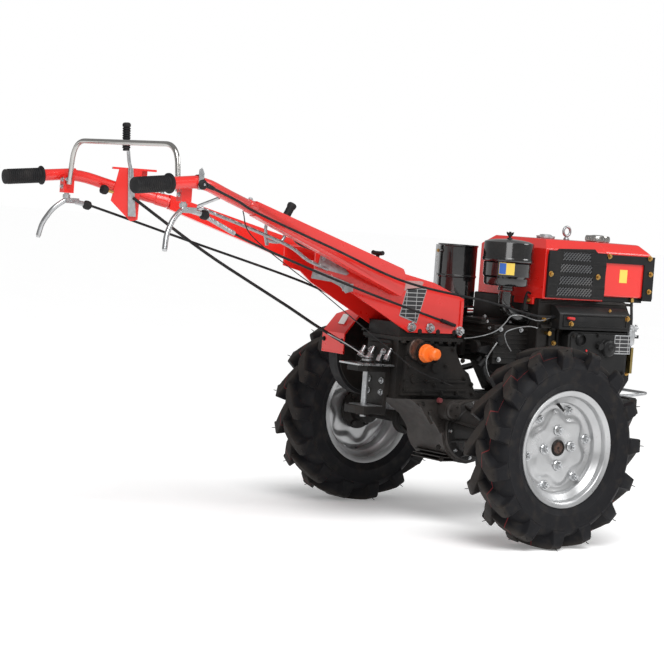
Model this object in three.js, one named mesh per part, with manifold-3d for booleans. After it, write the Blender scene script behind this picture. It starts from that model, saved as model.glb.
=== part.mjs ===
// Walking tractor: two driven wheels, a gearbox with a rear hitch, a horizontal
// single-cylinder diesel engine on a frame ahead of the axle, and long handles.
// Millimetres. X points forward, Y to the operator's left, Z up. Everything is
// drawn with the axle over the origin and the ground at Z = 0; the last lines
// shift the group so that its own origin is under the middle of its box.
import * as THREE from 'three';
import Module from 'manifold-3d';

const wasm = await Module();
wasm.setup();
const { Manifold, Mesh } = wasm;

// ---------------------------------------------------------------- sizes
const SEAT_GAP = 0.3;           // between pieces that lie against each other
const PIN_GAP = 0.5;            // round a pin in its hole
const WHEEL_FACETS = 36;

// Wheels
const TRACK = 916;              // between the two tyres' middle planes
const TYRE_R = 285;             // over the lug tips
const TYRE_HALF_W = 72;
const TREAD_HALF_W = 58;
const TYRE_WALL = 14;
const RIM_FLANGE_R = 165;
const RIM_HALF_W = 57;
const RIM_SEAT_R = 152;
const RIM_WELL_R = 132;
const RIM_STEEL = 4;
const DISC_OUT = 10;            // disc's outer face, from the wheel's middle plane
const DISC_THICK = 5;
const DISC_DISH = 12;           // how far the raised ring of the disc stands out
const HUB_R = 24;
const HUB_FLANGE_R = 62;
const HUB_FLANGE_THICK = 12;
const HUB_BARREL_R = 38;
const HUB_BARREL_LEN = 66;
const HUB_NOSE_OUT = 40;
const AXLE_R = 18;
const AXLE_ROOM = 1;            // running room round the axle in its housing
const AXLE_IN_HOUSING = 40;

// Transmission
const GEARBOX_HALF_W = 72;
const GEARBOX_REAR_X = -278;
const GEARBOX_FRONT_X = -52;
const GEARBOX_TOP_Z = 596;
const GEARBOX_STEP_Z = 452;     // below this the case reaches further forward
const GEARBOX_LOW_Z = 376;
const LEDGE_Z = 556;
const LEDGE_OUT = 18;
const COVER_THICK = 16;
const FINAL_FRONT_X = 100;
const FINAL_REAR_X = -132;
const FINAL_R = 100;
const HOUSING_LEN = 138;
const HOUSING_ROOT_R = 70;
const HOUSING_END_R = 40;
const HOUSING_FLANGE_R = 88;
const BOSS_X = -98;
const BOSS_Z = 372;
const BOSS_R = 29;
const PTO_X = -200;
const PTO_Z = 512;
const PTO_CAP_R = 25;

// Hitch
const HITCH_DEEP = 86;
const HITCH_HALF_W = 44;
const HITCH_PLATE = 12;
const HITCH_PIN_BACK = 36;      // pin's axis behind the hitch plate
const HITCH_PIN_R = 9;
const JAW_THICK = 22;
const JAW_TOP_Z = 472;
const JAW_OPEN = 100;           // clear height between the two jaws

// Engine frame and front end
const RAIL_IN_Y = 92;
const RAIL_OUT_Y = 140;
const RAIL_LOW_Z = 330;
const RAIL_HIGH = 55;
const RAIL_WALL = 8;
const FRAME_FRONT_X = 602;
const BUMPER_LONG = 62;
const BUMPER_HALF_W = 110;
const LOOP_ROD_R = 5;
const LOOP_HALF_W = 60;
const LOOP_OUT = 92;            // ahead of the bumper
const LOOP_RISE = 8;

// Stand
const STAND_BACK = 60;          // pivot behind the frame's front end
const STAND_DROP = 26;          // pivot below the rails
const STAND_LEAN = 34;          // foot ahead of the pivot
const STAND_TUBE_R = 13;
const STAND_HALF_W = 116;
const STAND_PIN_R = 8;
const STAND_FOOT_THICK = 6;

// Engine
const ENGINE_HALF_W = 150;
const CRANKCASE_REAR_X = 182;
const CRANKCASE_FRONT_X = 580;
const CRANKCASE_TOP_Z = 688;
const HEAD_REAR_X = 48;
const HEAD_LOW_Z = 488;
const HEAD_TOP_Z = 602;
const HEAD_HALF_W = 112;
const HOOD_RIGHT_Y = -163;
const HOOD_LEFT_Y = 133;
const HOOD_SIDE_Z = 838;
const HOOD_TOP_Z = 866;
const HOOD_SHOULDER = 34;
const TANK_REAR_X = 428;
const TANK_FRONT_X = 626;
const TANK_LOW_Z = 703;
const GRILLE_THICK = 9;
const STRAP_THICK = 5;
const CAP_R = 38;
const CAP_HIGH = 22;
const AIR_X = 95;
const AIR_Y = -95;
const AIR_R = 77;
const AIR_LOW_Z = 719;
const AIR_BAND_Z = 790;
const AIR_TOP_Z = 852;
const INTAKE_R = 19;
const MUFFLER_X = 41;
const MUFFLER_Y = 75;
const MUFFLER_R = 61;
const MUFFLER_LOW_Z = 641;
const MUFFLER_TOP_Z = 830;
const FLYWHEEL_X = 412;
const FLYWHEEL_Z = 552;
const FLYWHEEL_R = 172;
const FLYWHEEL_WIDE = 48;

// Belt drive
const CLUTCH_X = -163;
const CLUTCH_Z = 478;
const CLUTCH_PULLEY_R = 112;
const CRANK_PULLEY_R = 62;
const PULLEY_WIDE = 46;
const BELT_THICK = 9;
const BELT_GAP = 1;             // between a belt's inner side and a pulley
const BELT_LINE_Y = 206;        // inner edge of the belts and pulleys
const GUARD_IN_Y = 150;
const GUARD_OUT_Y = 264;
const GUARD_ROOM = 14;          // guard to belt
const GUARD_SHEET = 4;
const GUARD_LOW_Z = 482;
const GUARD_SHORT = 30;         // guard's front end, rear of the flywheel

// Console and handles
const PLATE_THICK = 6;
const PLATE_FRONT_X = -50;
const PLATE_LOW_Z = 569;
const PLATE_FRONT_Z = 672;
const PLATE_TOP_Z = 716;
const TUBE_R = 16;
const GRIP_R = 21;
const GRIP_LONG = 112;
const BAR_R = 7;
const BAR_HIGH = 94;            // guard bar over the handle tubes
const BEAM_THICK = 26;
const BEAM_REAR_HIGH = 40;
const BEAM_FRONT_HIGH = 80;
const SLEEVE = [-912, 210, 893];
const BEND = [-1045, 279, 922];
const KINK = [-1150, 319, 952];
const GRIP_END = [-1362, 340, 929];
const BEAM_END = [-312, 90, 714];
const CLAMP_X = -1188;
const CLAMP_HALF = 15;
const CLAMP_DROP = 50;
const CLAMP_IN = 24;            // the clamp's middle, inward of the tube's
const LEVER_ROD_R = 7;
const CABLE_R = 3.5;

// ---------------------------------------------------------------- helpers
const group = new THREE.Group();
group.name = 'walking_tractor';

function paint(color, roughness, metalness) {
  return new THREE.MeshStandardMaterial({ color, roughness, metalness });
}
const RED = () => paint(0xd8221b, 0.35, 0.1);
const BLACK = () => paint(0x161616, 0.5, 0.2);
const CAST = () => paint(0x202020, 0.65, 0.3);
const SILVER = () => paint(0xb9bcbf, 0.4, 0.8);
const CHROME = () => paint(0xd9dcdf, 0.12, 1.0);
const RUBBER = () => paint(0x171717, 0.9, 0.0);
const STEEL = () => paint(0x8f9294, 0.4, 0.9);
const ORANGE = () => paint(0xf0551c, 0.5, 0.0);

function add(name, geometry, material) {
  const mesh = new THREE.Mesh(geometry, material);
  mesh.name = name;
  group.add(mesh);
  return mesh;
}
function box(x0, x1, y0, y1, z0, z1) {
  const g = new THREE.BoxGeometry(x1 - x0, y1 - y0, z1 - z0);
  return g.translate((x0 + x1) / 2, (y0 + y1) / 2, (z0 + z1) / 2);
}
function outline(points, holes) {
  const shape = new THREE.Shape(points.map(([a, b]) => new THREE.Vector2(a, b)));
  for (const [a, b, r] of holes) shape.holes.push(new THREE.Path().absarc(a, b, r, 0, Math.PI * 2, true));
  return shape;
}
function extruded(points, depth, holes) {
  return new THREE.ExtrudeGeometry(outline(points, holes), { depth, bevelEnabled: false,
    curveSegments: 14 });
}
// A flat outline in the XZ plane, solid from y0 to y1.
function slab(points, y0, y1, holes = []) {
  return extruded(points, y1 - y0, holes).rotateX(Math.PI / 2).translate(0, y1, 0);
}
// A flat outline in the XY plane, solid from z0 to z1.
function plate(points, z0, z1, holes = []) {
  return extruded(points, z1 - z0, holes).translate(0, 0, z0);
}
// A flat outline in the YZ plane, solid from x0 to x1.
function section(points, x0, x1) {
  return extruded(points, x1 - x0, []).rotateX(Math.PI / 2).rotateZ(Math.PI / 2).translate(x0, 0, 0);
}
// Closed profile of [radius, height] turned about Y.
function ring(profile, facets = WHEEL_FACETS) {
  return new THREE.LatheGeometry([...profile, profile[0]].map(([r, h]) => new THREE.Vector2(r, h)), facets);
}
// Profile from axis to axis, lowest height first.
function turned(profile, facets = 28) {
  return new THREE.LatheGeometry(profile.map(([r, h]) => new THREE.Vector2(r, h)), facets);
}
function cylY(x, z, y0, y1, r, n = 28) {
  return new THREE.CylinderGeometry(r, r, y1 - y0, n).translate(x, (y0 + y1) / 2, z);
}
function cylZ(x, y, z0, z1, r, n = 28) {
  return new THREE.CylinderGeometry(r, r, z1 - z0, n).rotateX(Math.PI / 2).translate(x, y, (z0 + z1) / 2);
}
// A round rod along straight runs with rounded corners, or along a smooth curve.
function rod(points, r, { bend = 0, sides = 8, steps = 16 } = {}) {
  const pts = points.map((p) => new THREE.Vector3(...p));
  let path = new THREE.CatmullRomCurve3(pts, false, 'centripetal');
  if (bend > 0) {
    path = new THREE.CurvePath();
    let from = pts[0];
    for (let i = 1; i < pts.length - 1; i++) {
      const [a, b, c] = [pts[i - 1], pts[i], pts[i + 1]];
      const cut = Math.min(bend, b.distanceTo(a) * 0.45, b.distanceTo(c) * 0.45);
      const enter = a.clone().sub(b).setLength(cut).add(b);
      const leave = c.clone().sub(b).setLength(cut).add(b);
      path.add(new THREE.LineCurve3(from, enter));
      path.add(new THREE.QuadraticBezierCurve3(enter, b, leave));
      from = leave;
    }
    path.add(new THREE.LineCurve3(from, pts[pts.length - 1]));
  }
  const shape = new THREE.Shape();
  for (let i = 0; i < sides; i++) {
    const a = (i / sides) * Math.PI * 2;
    const at = [Math.cos(a) * r, Math.sin(a) * r];
    if (i === 0) {
      shape.moveTo(...at);
    } else {
      shape.lineTo(...at);
    }
  }
  return new THREE.ExtrudeGeometry(shape, { steps, bevelEnabled: false, extrudePath: path });
}
// The same piece on the other side of the machine.
function mirrored(g) {
  const m = g.index ? g.toNonIndexed() : g.clone();
  const p = m.attributes.position;
  for (let i = 0; i < p.count; i += 3) {
    const tri = [0, 2, 1].map((k) => [p.getX(i + k), -p.getY(i + k), p.getZ(i + k)]);
    tri.forEach((v, k) => p.setXYZ(i + k, ...v));
  }
  m.computeVertexNormals();
  return m;
}
// Weld the corners and hand the mesh to the solid modeller, and back.
function solid(g) {
  const pos = (g.index ? g.toNonIndexed() : g).attributes.position;
  const seen = new Map();
  const verts = [];
  const tris = [];
  for (let i = 0; i < pos.count; i++) {
    const v = [pos.getX(i), pos.getY(i), pos.getZ(i)];
    const key = v.map((c) => Math.round(c * 1e4)).join(',');
    if (!seen.has(key)) {
      seen.set(key, verts.length / 3);
      verts.push(...v);
    }
    tris.push(seen.get(key));
  }
  const kept = [];
  for (let i = 0; i < tris.length; i += 3) {
    const [a, b, c] = tris.slice(i, i + 3);
    if (a !== b && b !== c && a !== c) kept.push(a, b, c);
  }
  return new Manifold(new Mesh({
    numProp: 3, vertProperties: Float32Array.from(verts), triVerts: Uint32Array.from(kept) }));
}
function geometry(m) {
  const mesh = m.getMesh();
  const v = new Float32Array(mesh.numVert * 3);
  for (let i = 0; i < mesh.numVert; i++) {
    for (let k = 0; k < 3; k++) v[i * 3 + k] = mesh.vertProperties[i * mesh.numProp + k];
  }
  const g = new THREE.BufferGeometry();
  g.setAttribute('position', new THREE.BufferAttribute(v, 3));
  g.setIndex(new THREE.BufferAttribute(Uint32Array.from(mesh.triVerts), 1));
  g.computeVertexNormals();
  return g;
}
function join(...parts) {
  return geometry(parts.map(solid).reduce((a, b) => a.add(b)));
}
function cut(base, ...tools) {
  return geometry(tools.map(solid).reduce((a, b) => a.subtract(b), solid(base)));
}
function clip(a, b) {
  return geometry(solid(a).intersect(solid(b)));
}
// The outline of a belt round two pulleys, in XZ.
function beltLoop(x0, z0, r0, x1, z1, r1, n = 18) {
  const along = Math.atan2(z1 - z0, x1 - x0);
  const spread = Math.acos((r0 - r1) / Math.hypot(x1 - x0, z1 - z0));
  const pts = [];
  for (let i = 0; i <= n; i++) {
    const a = along + spread + (2 * (Math.PI - spread) * i) / n;
    pts.push([x0 + r0 * Math.cos(a), z0 + r0 * Math.sin(a)]);
  }
  for (let i = 0; i <= n; i++) {
    const a = along - spread + (2 * spread * i) / n;
    pts.push([x1 + r1 * Math.cos(a), z1 + r1 * Math.sin(a)]);
  }
  return pts;
}
// Height of the line from [x0, z0] to [x1, z1] at x.
function lineAt(x, [x0, z0], [x1, z1]) {
  return z0 + ((z1 - z0) * (x - x0)) / (x1 - x0);
}
const SIDES = [['right', -1], ['left', 1]];
const onSide = (s, g) => (s < 0 ? mirrored(g) : g);

// ---------------------------------------------------------------- wheels
const axleZ = TYRE_R;
const halfTrack = TRACK / 2;

function tyre() {
  const bead = RIM_SEAT_R + SEAT_GAP;
  const beadY = RIM_HALF_W - RIM_STEEL - SEAT_GAP;
  const midR = (RIM_FLANGE_R + TYRE_R) / 2;
  const inMid = TYRE_HALF_W - TYRE_WALL;
  const inTop = TYRE_R - 2.5 * TYRE_WALL;
  const out = [[bead, beadY], [RIM_FLANGE_R + 4, beadY], [RIM_FLANGE_R + 12, TYRE_HALF_W - 10],
    [midR - 8, TYRE_HALF_W], [TYRE_R - 28, TYRE_HALF_W - 2], [TYRE_R - 8, TREAD_HALF_W + 6],
    [TYRE_R, TREAD_HALF_W - 8]];
  const inside = [[bead, RIM_HALF_W - 20], [bead + 18, RIM_HALF_W - 14], [midR - 8, inMid],
    [inTop - 6, inMid - 8]];
  const flip = (list) => list.map(([r, h]) => [r, -h]);
  return ring([...flip(out), ...[...out].reverse(), ...inside, [inTop, 0], ...flip(inside).reverse()]);
}
function rim() {
  const t = RIM_STEEL;
  const w = RIM_HALF_W;
  const face = DISC_OUT;
  const back = DISC_OUT - DISC_THICK;
  const inner = RIM_WELL_R - t;
  const ringR = (inner + HUB_FLANGE_R) / 2 + 8;
  return ring([
    [RIM_FLANGE_R, -w], [RIM_FLANGE_R, t - w], [RIM_SEAT_R, t - w], [RIM_SEAT_R, 20 - w + 3],
    [RIM_WELL_R, 32 - w + 3],
    [RIM_WELL_R, w - 35], [RIM_SEAT_R, w - 23], [RIM_SEAT_R, w - t], [RIM_FLANGE_R, w - t],
    [RIM_FLANGE_R, w],
    [RIM_SEAT_R - t, w], [RIM_SEAT_R - t, w - 21], [inner, w - 33], [inner, face + 4], [inner - 10, face],
    [ringR + 14, face + DISC_DISH], [ringR - 12, face + DISC_DISH], [HUB_FLANGE_R + 4, face],
    [HUB_R, face], [HUB_R, back], [HUB_FLANGE_R + 2, back], [ringR - 12, back + DISC_DISH],
    [ringR + 14, back + DISC_DISH], [inner - 10, back], [inner, back - 4],
    [inner, 33 - w], [RIM_SEAT_R - t, 21 - w], [RIM_SEAT_R - t, -w],
  ]);
}
// Heights run outward from the wheel's middle plane. The axle is part of the hub.
const hubFace = DISC_OUT - DISC_THICK - SEAT_GAP;
const barrelEnd = hubFace - HUB_BARREL_LEN;
const housingStart = GEARBOX_HALF_W + 12;
const housingEnd = housingStart + HOUSING_LEN;
function hub() {
  const nose = HUB_R - SEAT_GAP;
  const axleEnd = housingEnd - AXLE_IN_HOUSING - halfTrack;
  return turned([
    [0, axleEnd], [AXLE_R, axleEnd], [AXLE_R, barrelEnd], [HUB_BARREL_R, barrelEnd],
    [HUB_BARREL_R, hubFace - HUB_FLANGE_THICK - 6], [HUB_FLANGE_R, hubFace - HUB_FLANGE_THICK],
    [HUB_FLANGE_R, hubFace], [nose, hubFace], [nose, HUB_NOSE_OUT - 3], [nose - 3, HUB_NOSE_OUT],
    [0, HUB_NOSE_OUT],
  ]);
}
for (const [side, s] of SIDES) {
  const place = (g) => onSide(s, g.translate(0, halfTrack, axleZ));
  add(`tyre_${side}`, place(tyre()), RUBBER());
  add(`rim_${side}`, place(rim()), SILVER());
  add(`hub_${side}`, place(hub()), BLACK());
}

// ---------------------------------------------------------------- transmission
const boxY = GEARBOX_HALF_W;
const coverOut = -boxY - COVER_THICK;
const railTop = RAIL_LOW_Z + RAIL_HIGH;
// The upper case, its right side cover and ledge, the selector block on top and
// the round clutch housing on the left are one casting.
add('gearbox_housing', join(
  slab([
    [GEARBOX_REAR_X, GEARBOX_LOW_Z], [FINAL_FRONT_X, GEARBOX_LOW_Z], [FINAL_FRONT_X - 4, railTop + 3],
    [26, railTop + 11], [-4, GEARBOX_STEP_Z], [GEARBOX_FRONT_X, GEARBOX_STEP_Z + 30],
    [GEARBOX_FRONT_X - 20, GEARBOX_TOP_Z], [GEARBOX_REAR_X, GEARBOX_TOP_Z],
  ], -boxY, boxY),
  box(GEARBOX_REAR_X - 6, GEARBOX_FRONT_X, -boxY - LEDGE_OUT, boxY + LEDGE_OUT, LEDGE_Z - 10, LEDGE_Z),
  slab([
    [GEARBOX_REAR_X + 12, GEARBOX_LOW_Z + 12], [GEARBOX_FRONT_X + 30, GEARBOX_LOW_Z + 12],
    [GEARBOX_FRONT_X + 20, GEARBOX_STEP_Z], [GEARBOX_FRONT_X - 30, LEDGE_Z - 24],
    [GEARBOX_REAR_X + 22, LEDGE_Z - 24],
  ], coverOut, -boxY + 4),
  cylY(PTO_X, PTO_Z, coverOut - 14, coverOut + 4, PTO_CAP_R + 8),
  box(-226, -110, -44, 44, GEARBOX_TOP_Z - 4, GEARBOX_TOP_Z + 30),
  cylZ(-160, 0, GEARBOX_TOP_Z + 20, GEARBOX_TOP_Z + 52, 24),
  cylY(CLUTCH_X, CLUTCH_Z, boxY - 4, GUARD_IN_Y, 74),
), CAST());

const finalTop = GEARBOX_LOW_Z - SEAT_GAP;
const finalY = housingStart - SEAT_GAP;
function finalDriveOutline() {
  const pts = [[GEARBOX_REAR_X + 52, finalTop], [FINAL_REAR_X, 316]];
  for (let i = 0; i <= 10; i++) {
    const a = Math.PI * (1.02 + (0.98 * i) / 10);
    pts.push([FINAL_R * Math.cos(a), axleZ + FINAL_R * Math.sin(a)]);
  }
  return [...pts, [FINAL_FRONT_X, finalTop]];
}
add('final_drive_case', join(
  slab(finalDriveOutline(), -finalY, finalY),
  cylY(BOSS_X, BOSS_Z - 24, -finalY - 42, -finalY + 4, BOSS_R),
), CAST());

function axleHousing() {
  const bore = AXLE_R + AXLE_ROOM;
  return turned([
    [0, housingStart], [HOUSING_FLANGE_R, housingStart], [HOUSING_FLANGE_R, housingStart + 14],
    [HOUSING_ROOT_R, housingStart + 22], [HOUSING_END_R, housingEnd - 24],
    [HOUSING_END_R + 8, housingEnd - 20],
    [HOUSING_END_R + 8, housingEnd], [bore, housingEnd], [bore, housingEnd - AXLE_IN_HOUSING - AXLE_ROOM],
    [0, housingEnd - AXLE_IN_HOUSING - AXLE_ROOM],
  ]).translate(0, 0, axleZ);
}
for (const [side, s] of SIDES) add(`axle_housing_${side}`, onSide(s, axleHousing()), CAST());

const capFace = coverOut - 14 - SEAT_GAP;
add('pto_cap', join(
  cylY(PTO_X, PTO_Z, capFace - 20, capFace, PTO_CAP_R),
  cylY(PTO_X + 10, PTO_Z, capFace - 44, capFace - 18, PTO_CAP_R * 0.7),
), ORANGE());

// ---------------------------------------------------------------- hitch
const hitchFace = GEARBOX_REAR_X - 6 - SEAT_GAP;
const hitchBack = hitchFace - HITCH_PLATE;
const hitchRear = hitchBack - HITCH_DEEP;
const hitchPinX = hitchBack - HITCH_PIN_BACK;
const jawLowTop = JAW_TOP_Z - JAW_THICK - JAW_OPEN;
const jawLow = jawLowTop - JAW_THICK;
function jaw(z0, w) {
  return plate([
    [hitchBack + 2, -w], [hitchBack + 2, w], [hitchRear + 18, w], [hitchRear, w - 18],
    [hitchRear, 18 - w], [hitchRear + 18, -w],
  ], z0, z0 + JAW_THICK, [[hitchPinX, 0, HITCH_PIN_R + PIN_GAP]]);
}
add('hitch_bracket', join(
  box(hitchBack, hitchFace, -HITCH_HALF_W, HITCH_HALF_W, jawLow - 4, JAW_TOP_Z + 60),
  box(hitchFace - 2, GEARBOX_REAR_X - SEAT_GAP, -HITCH_HALF_W, HITCH_HALF_W, GEARBOX_LOW_Z + 8,
    LEDGE_Z - 14),
  jaw(JAW_TOP_Z - JAW_THICK, HITCH_HALF_W),
  jaw(jawLow, HITCH_HALF_W),
), CAST());
add('hitch_pin', join(
  cylZ(hitchPinX, 0, jawLow - 12, JAW_TOP_Z + 4, HITCH_PIN_R, 20),
  cylZ(hitchPinX, 0, JAW_TOP_Z + SEAT_GAP, JAW_TOP_Z + 12, HITCH_PIN_R + 6, 20),
), STEEL());

// ---------------------------------------------------------------- engine frame
const railRear = FINAL_FRONT_X + SEAT_GAP;
const pivotX = FRAME_FRONT_X - STAND_BACK;
const pivotZ = RAIL_LOW_Z - STAND_DROP;
const earIn = STAND_HALF_W + STAND_TUBE_R + 2;
function rail() {
  return [
    box(railRear, FRAME_FRONT_X, RAIL_IN_Y, RAIL_OUT_Y, railTop - RAIL_WALL, railTop),
    box(railRear, FRAME_FRONT_X, RAIL_IN_Y, RAIL_OUT_Y, RAIL_LOW_Z, RAIL_LOW_Z + RAIL_WALL),
    box(railRear, FRAME_FRONT_X, RAIL_OUT_Y - RAIL_WALL, RAIL_OUT_Y, RAIL_LOW_Z, railTop),
  ];
}
// An ear under each rail carries the stand's pivot.
function ear() {
  return slab([
    [pivotX - 26, RAIL_LOW_Z + 4], [pivotX - 16, pivotZ - 14], [pivotX + 16, pivotZ - 14],
    [pivotX + 26, RAIL_LOW_Z + 4],
  ], earIn, earIn + RAIL_WALL, [[pivotX, pivotZ, STAND_PIN_R + PIN_GAP]]);
}
const rightAndLeft = (list) => [...list, ...list.map(mirrored)];
add('engine_frame', join(
  ...rightAndLeft([...rail(), ear()]),
  box(railRear, railRear + 12, -RAIL_OUT_Y, RAIL_OUT_Y, RAIL_LOW_Z, railTop),
  box(FRAME_FRONT_X - 10, FRAME_FRONT_X, -RAIL_OUT_Y, RAIL_OUT_Y, RAIL_LOW_Z, railTop),
), CAST());

const bumperRear = FRAME_FRONT_X + SEAT_GAP;
const bumperFront = bumperRear + BUMPER_LONG;
add('front_bumper', box(bumperRear, bumperFront, -BUMPER_HALF_W, BUMPER_HALF_W, RAIL_LOW_Z, railTop),
  BLACK());
const loopZ = railTop + LOOP_ROD_R + SEAT_GAP;
add('front_loop', rod([
  [bumperRear + 6, -LOOP_HALF_W, loopZ], [bumperFront + 10, -LOOP_HALF_W, loopZ],
  [bumperFront + LOOP_OUT, -LOOP_HALF_W, loopZ + LOOP_RISE],
  [bumperFront + LOOP_OUT, LOOP_HALF_W, loopZ + LOOP_RISE],
  [bumperFront + 10, LOOP_HALF_W, loopZ], [bumperRear + 6, LOOP_HALF_W, loopZ],
], LOOP_ROD_R, { bend: 18, steps: 26 }), STEEL());

// ---------------------------------------------------------------- stand
const footX = pivotX + STAND_LEAN;
function standPin() {
  return [
    cylY(pivotX, pivotZ, STAND_HALF_W - 13, earIn + RAIL_WALL + 5, STAND_PIN_R, 20),
    cylY(pivotX, pivotZ, STAND_HALF_W - 13, earIn - 2, STAND_TUBE_R + 1, 20),
  ];
}
add('front_stand', join(
  rod([
    [pivotX, -STAND_HALF_W, pivotZ], [footX, -STAND_HALF_W, STAND_TUBE_R],
    [footX, STAND_HALF_W, STAND_TUBE_R],
    [pivotX, STAND_HALF_W, pivotZ],
  ], STAND_TUBE_R, { bend: 50, sides: 10, steps: 24 }),
  box(footX - 22, footX + 22, -70, 70, 0, STAND_FOOT_THICK),
  ...rightAndLeft(standPin()),
), BLACK());

// ---------------------------------------------------------------- engine
const engineY = -ENGINE_HALF_W - SEAT_GAP;
const crankLow = railTop + SEAT_GAP;
add('crankcase', slab([
  [CRANKCASE_REAR_X + 60, crankLow], [CRANKCASE_FRONT_X - 46, crankLow], [CRANKCASE_FRONT_X, crankLow + 62],
  [CRANKCASE_FRONT_X, CRANKCASE_TOP_Z - 70],
  [CRANKCASE_FRONT_X - 40, CRANKCASE_TOP_Z], [CRANKCASE_REAR_X, CRANKCASE_TOP_Z],
  [CRANKCASE_REAR_X, HEAD_LOW_Z - 10],
], -ENGINE_HALF_W, ENGINE_HALF_W), CAST());
add('cylinder_head', join(
  box(HEAD_REAR_X, CRANKCASE_REAR_X - SEAT_GAP, -HEAD_HALF_W, HEAD_HALF_W, HEAD_LOW_Z, HEAD_TOP_Z),
  cylZ(MUFFLER_X + 30, MUFFLER_Y, HEAD_TOP_Z - 4, MUFFLER_LOW_Z - SEAT_GAP, 20, 20),
), CAST());
add('gear_case_cover', join(
  slab([
    [290, 459], [516, 459], [528, 472], [528, 584], [516, 597], [291, 597], [279, 584], [279, 470],
  ], engineY - 34, engineY),
  cylY(440, 548, engineY - 50, engineY - 30, 24),
), CAST());
add('pump_guard', section([
  [engineY, 601], [engineY, 672], [engineY - 18, 672], [engineY - 44, 650], [engineY - 44, 601],
], 229, 523), BLACK());
add('flywheel', join(
  cylY(FLYWHEEL_X, FLYWHEEL_Z, ENGINE_HALF_W + SEAT_GAP, ENGINE_HALF_W + FLYWHEEL_WIDE, FLYWHEEL_R, 40),
  cylY(FLYWHEEL_X, FLYWHEEL_Z, ENGINE_HALF_W + 20, BELT_LINE_Y + PULLEY_WIDE, CRANK_PULLEY_R, 32),
), CAST());

// Hood over the radiator and the fuel tank ahead of it share one cross-section.
function hoodSection(lowZ, inset) {
  return [
    [HOOD_RIGHT_Y + inset, lowZ], [HOOD_LEFT_Y - inset, lowZ], [HOOD_LEFT_Y - inset, HOOD_SIDE_Z],
    [HOOD_LEFT_Y - HOOD_SHOULDER, HOOD_TOP_Z], [HOOD_RIGHT_Y + HOOD_SHOULDER, HOOD_TOP_Z],
    [HOOD_RIGHT_Y + inset, HOOD_SIDE_Z],
  ];
}
const hoodLow = CRANKCASE_TOP_Z + SEAT_GAP;
add('radiator_hood', clip(section(hoodSection(hoodLow, 0), CRANKCASE_REAR_X, TANK_REAR_X - SEAT_GAP), slab([
  [CRANKCASE_REAR_X, hoodLow - 10], [TANK_REAR_X, hoodLow - 10], [TANK_REAR_X, HOOD_TOP_Z + 10],
  [CRANKCASE_REAR_X + 36, HOOD_TOP_Z + 10], [CRANKCASE_REAR_X, HOOD_SIDE_Z],
], -300, 300)), RED());
add('fuel_tank', clip(section(hoodSection(TANK_LOW_Z, 3), TANK_REAR_X, TANK_FRONT_X), slab([
  [TANK_REAR_X, TANK_LOW_Z], [TANK_FRONT_X - 8, TANK_LOW_Z], [TANK_FRONT_X, TANK_LOW_Z + 8],
  [TANK_FRONT_X, HOOD_SIDE_Z], [TANK_FRONT_X - 40, HOOD_TOP_Z + 10], [TANK_REAR_X, HOOD_TOP_Z + 10],
], -300, 300)), RED());
const grilleRear = CRANKCASE_REAR_X + 8;
add('radiator_grille', slab([
  [grilleRear, 693], [TANK_REAR_X - 4, 693], [TANK_REAR_X - 4, 830], [390, 834], [376, HOOD_SIDE_Z - 1],
  [230, HOOD_SIDE_Z - 1], [grilleRear + 4, 818],
], HOOD_RIGHT_Y - GRILLE_THICK, HOOD_RIGHT_Y - SEAT_GAP), BLACK());
// The bracket under the tank turns up in front and carries the strap along its side.
const strapIn = HOOD_RIGHT_Y + 3 - SEAT_GAP;
const strapOut = strapIn - STRAP_THICK;
add('tank_bracket', join(
  box(TANK_REAR_X + 8, TANK_FRONT_X - 20, HOOD_RIGHT_Y + 13, HOOD_LEFT_Y - 10, hoodLow,
    TANK_LOW_Z - SEAT_GAP),
  box(TANK_FRONT_X - 33, TANK_FRONT_X + 8, strapOut, HOOD_RIGHT_Y + 14, TANK_LOW_Z - 8,
    TANK_LOW_Z - SEAT_GAP),
  box(TANK_REAR_X + 2, TANK_FRONT_X + 8, strapOut, strapIn, HOOD_SIDE_Z - 32, HOOD_SIDE_Z - 6),
  box(TANK_FRONT_X - 33, TANK_FRONT_X + 8, strapOut, strapIn, TANK_LOW_Z - 8, HOOD_SIDE_Z - 6),
  box(TANK_FRONT_X + SEAT_GAP, TANK_FRONT_X + 8, strapOut, strapIn + 30, TANK_LOW_Z - 8, HOOD_SIDE_Z - 6),
), BLACK());
const capZ = HOOD_TOP_Z + SEAT_GAP;
add('fuel_cap', cylZ(523, -20, capZ, capZ + CAP_HIGH, CAP_R), CHROME());
add('radiator_cap', cylZ(342, 20, capZ, capZ + 13, 28), BLACK());
const eyeX = 410;
const eyeZ = capZ + 26;
add('lifting_eye', join(
  cylZ(eyeX, 0, capZ, capZ + 9, 9, 16),
  cut(cylY(eyeX, eyeZ, -4, 4, 18, 24), cylY(eyeX, eyeZ, -10, 10, 10, 20)),
), STEEL());

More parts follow.
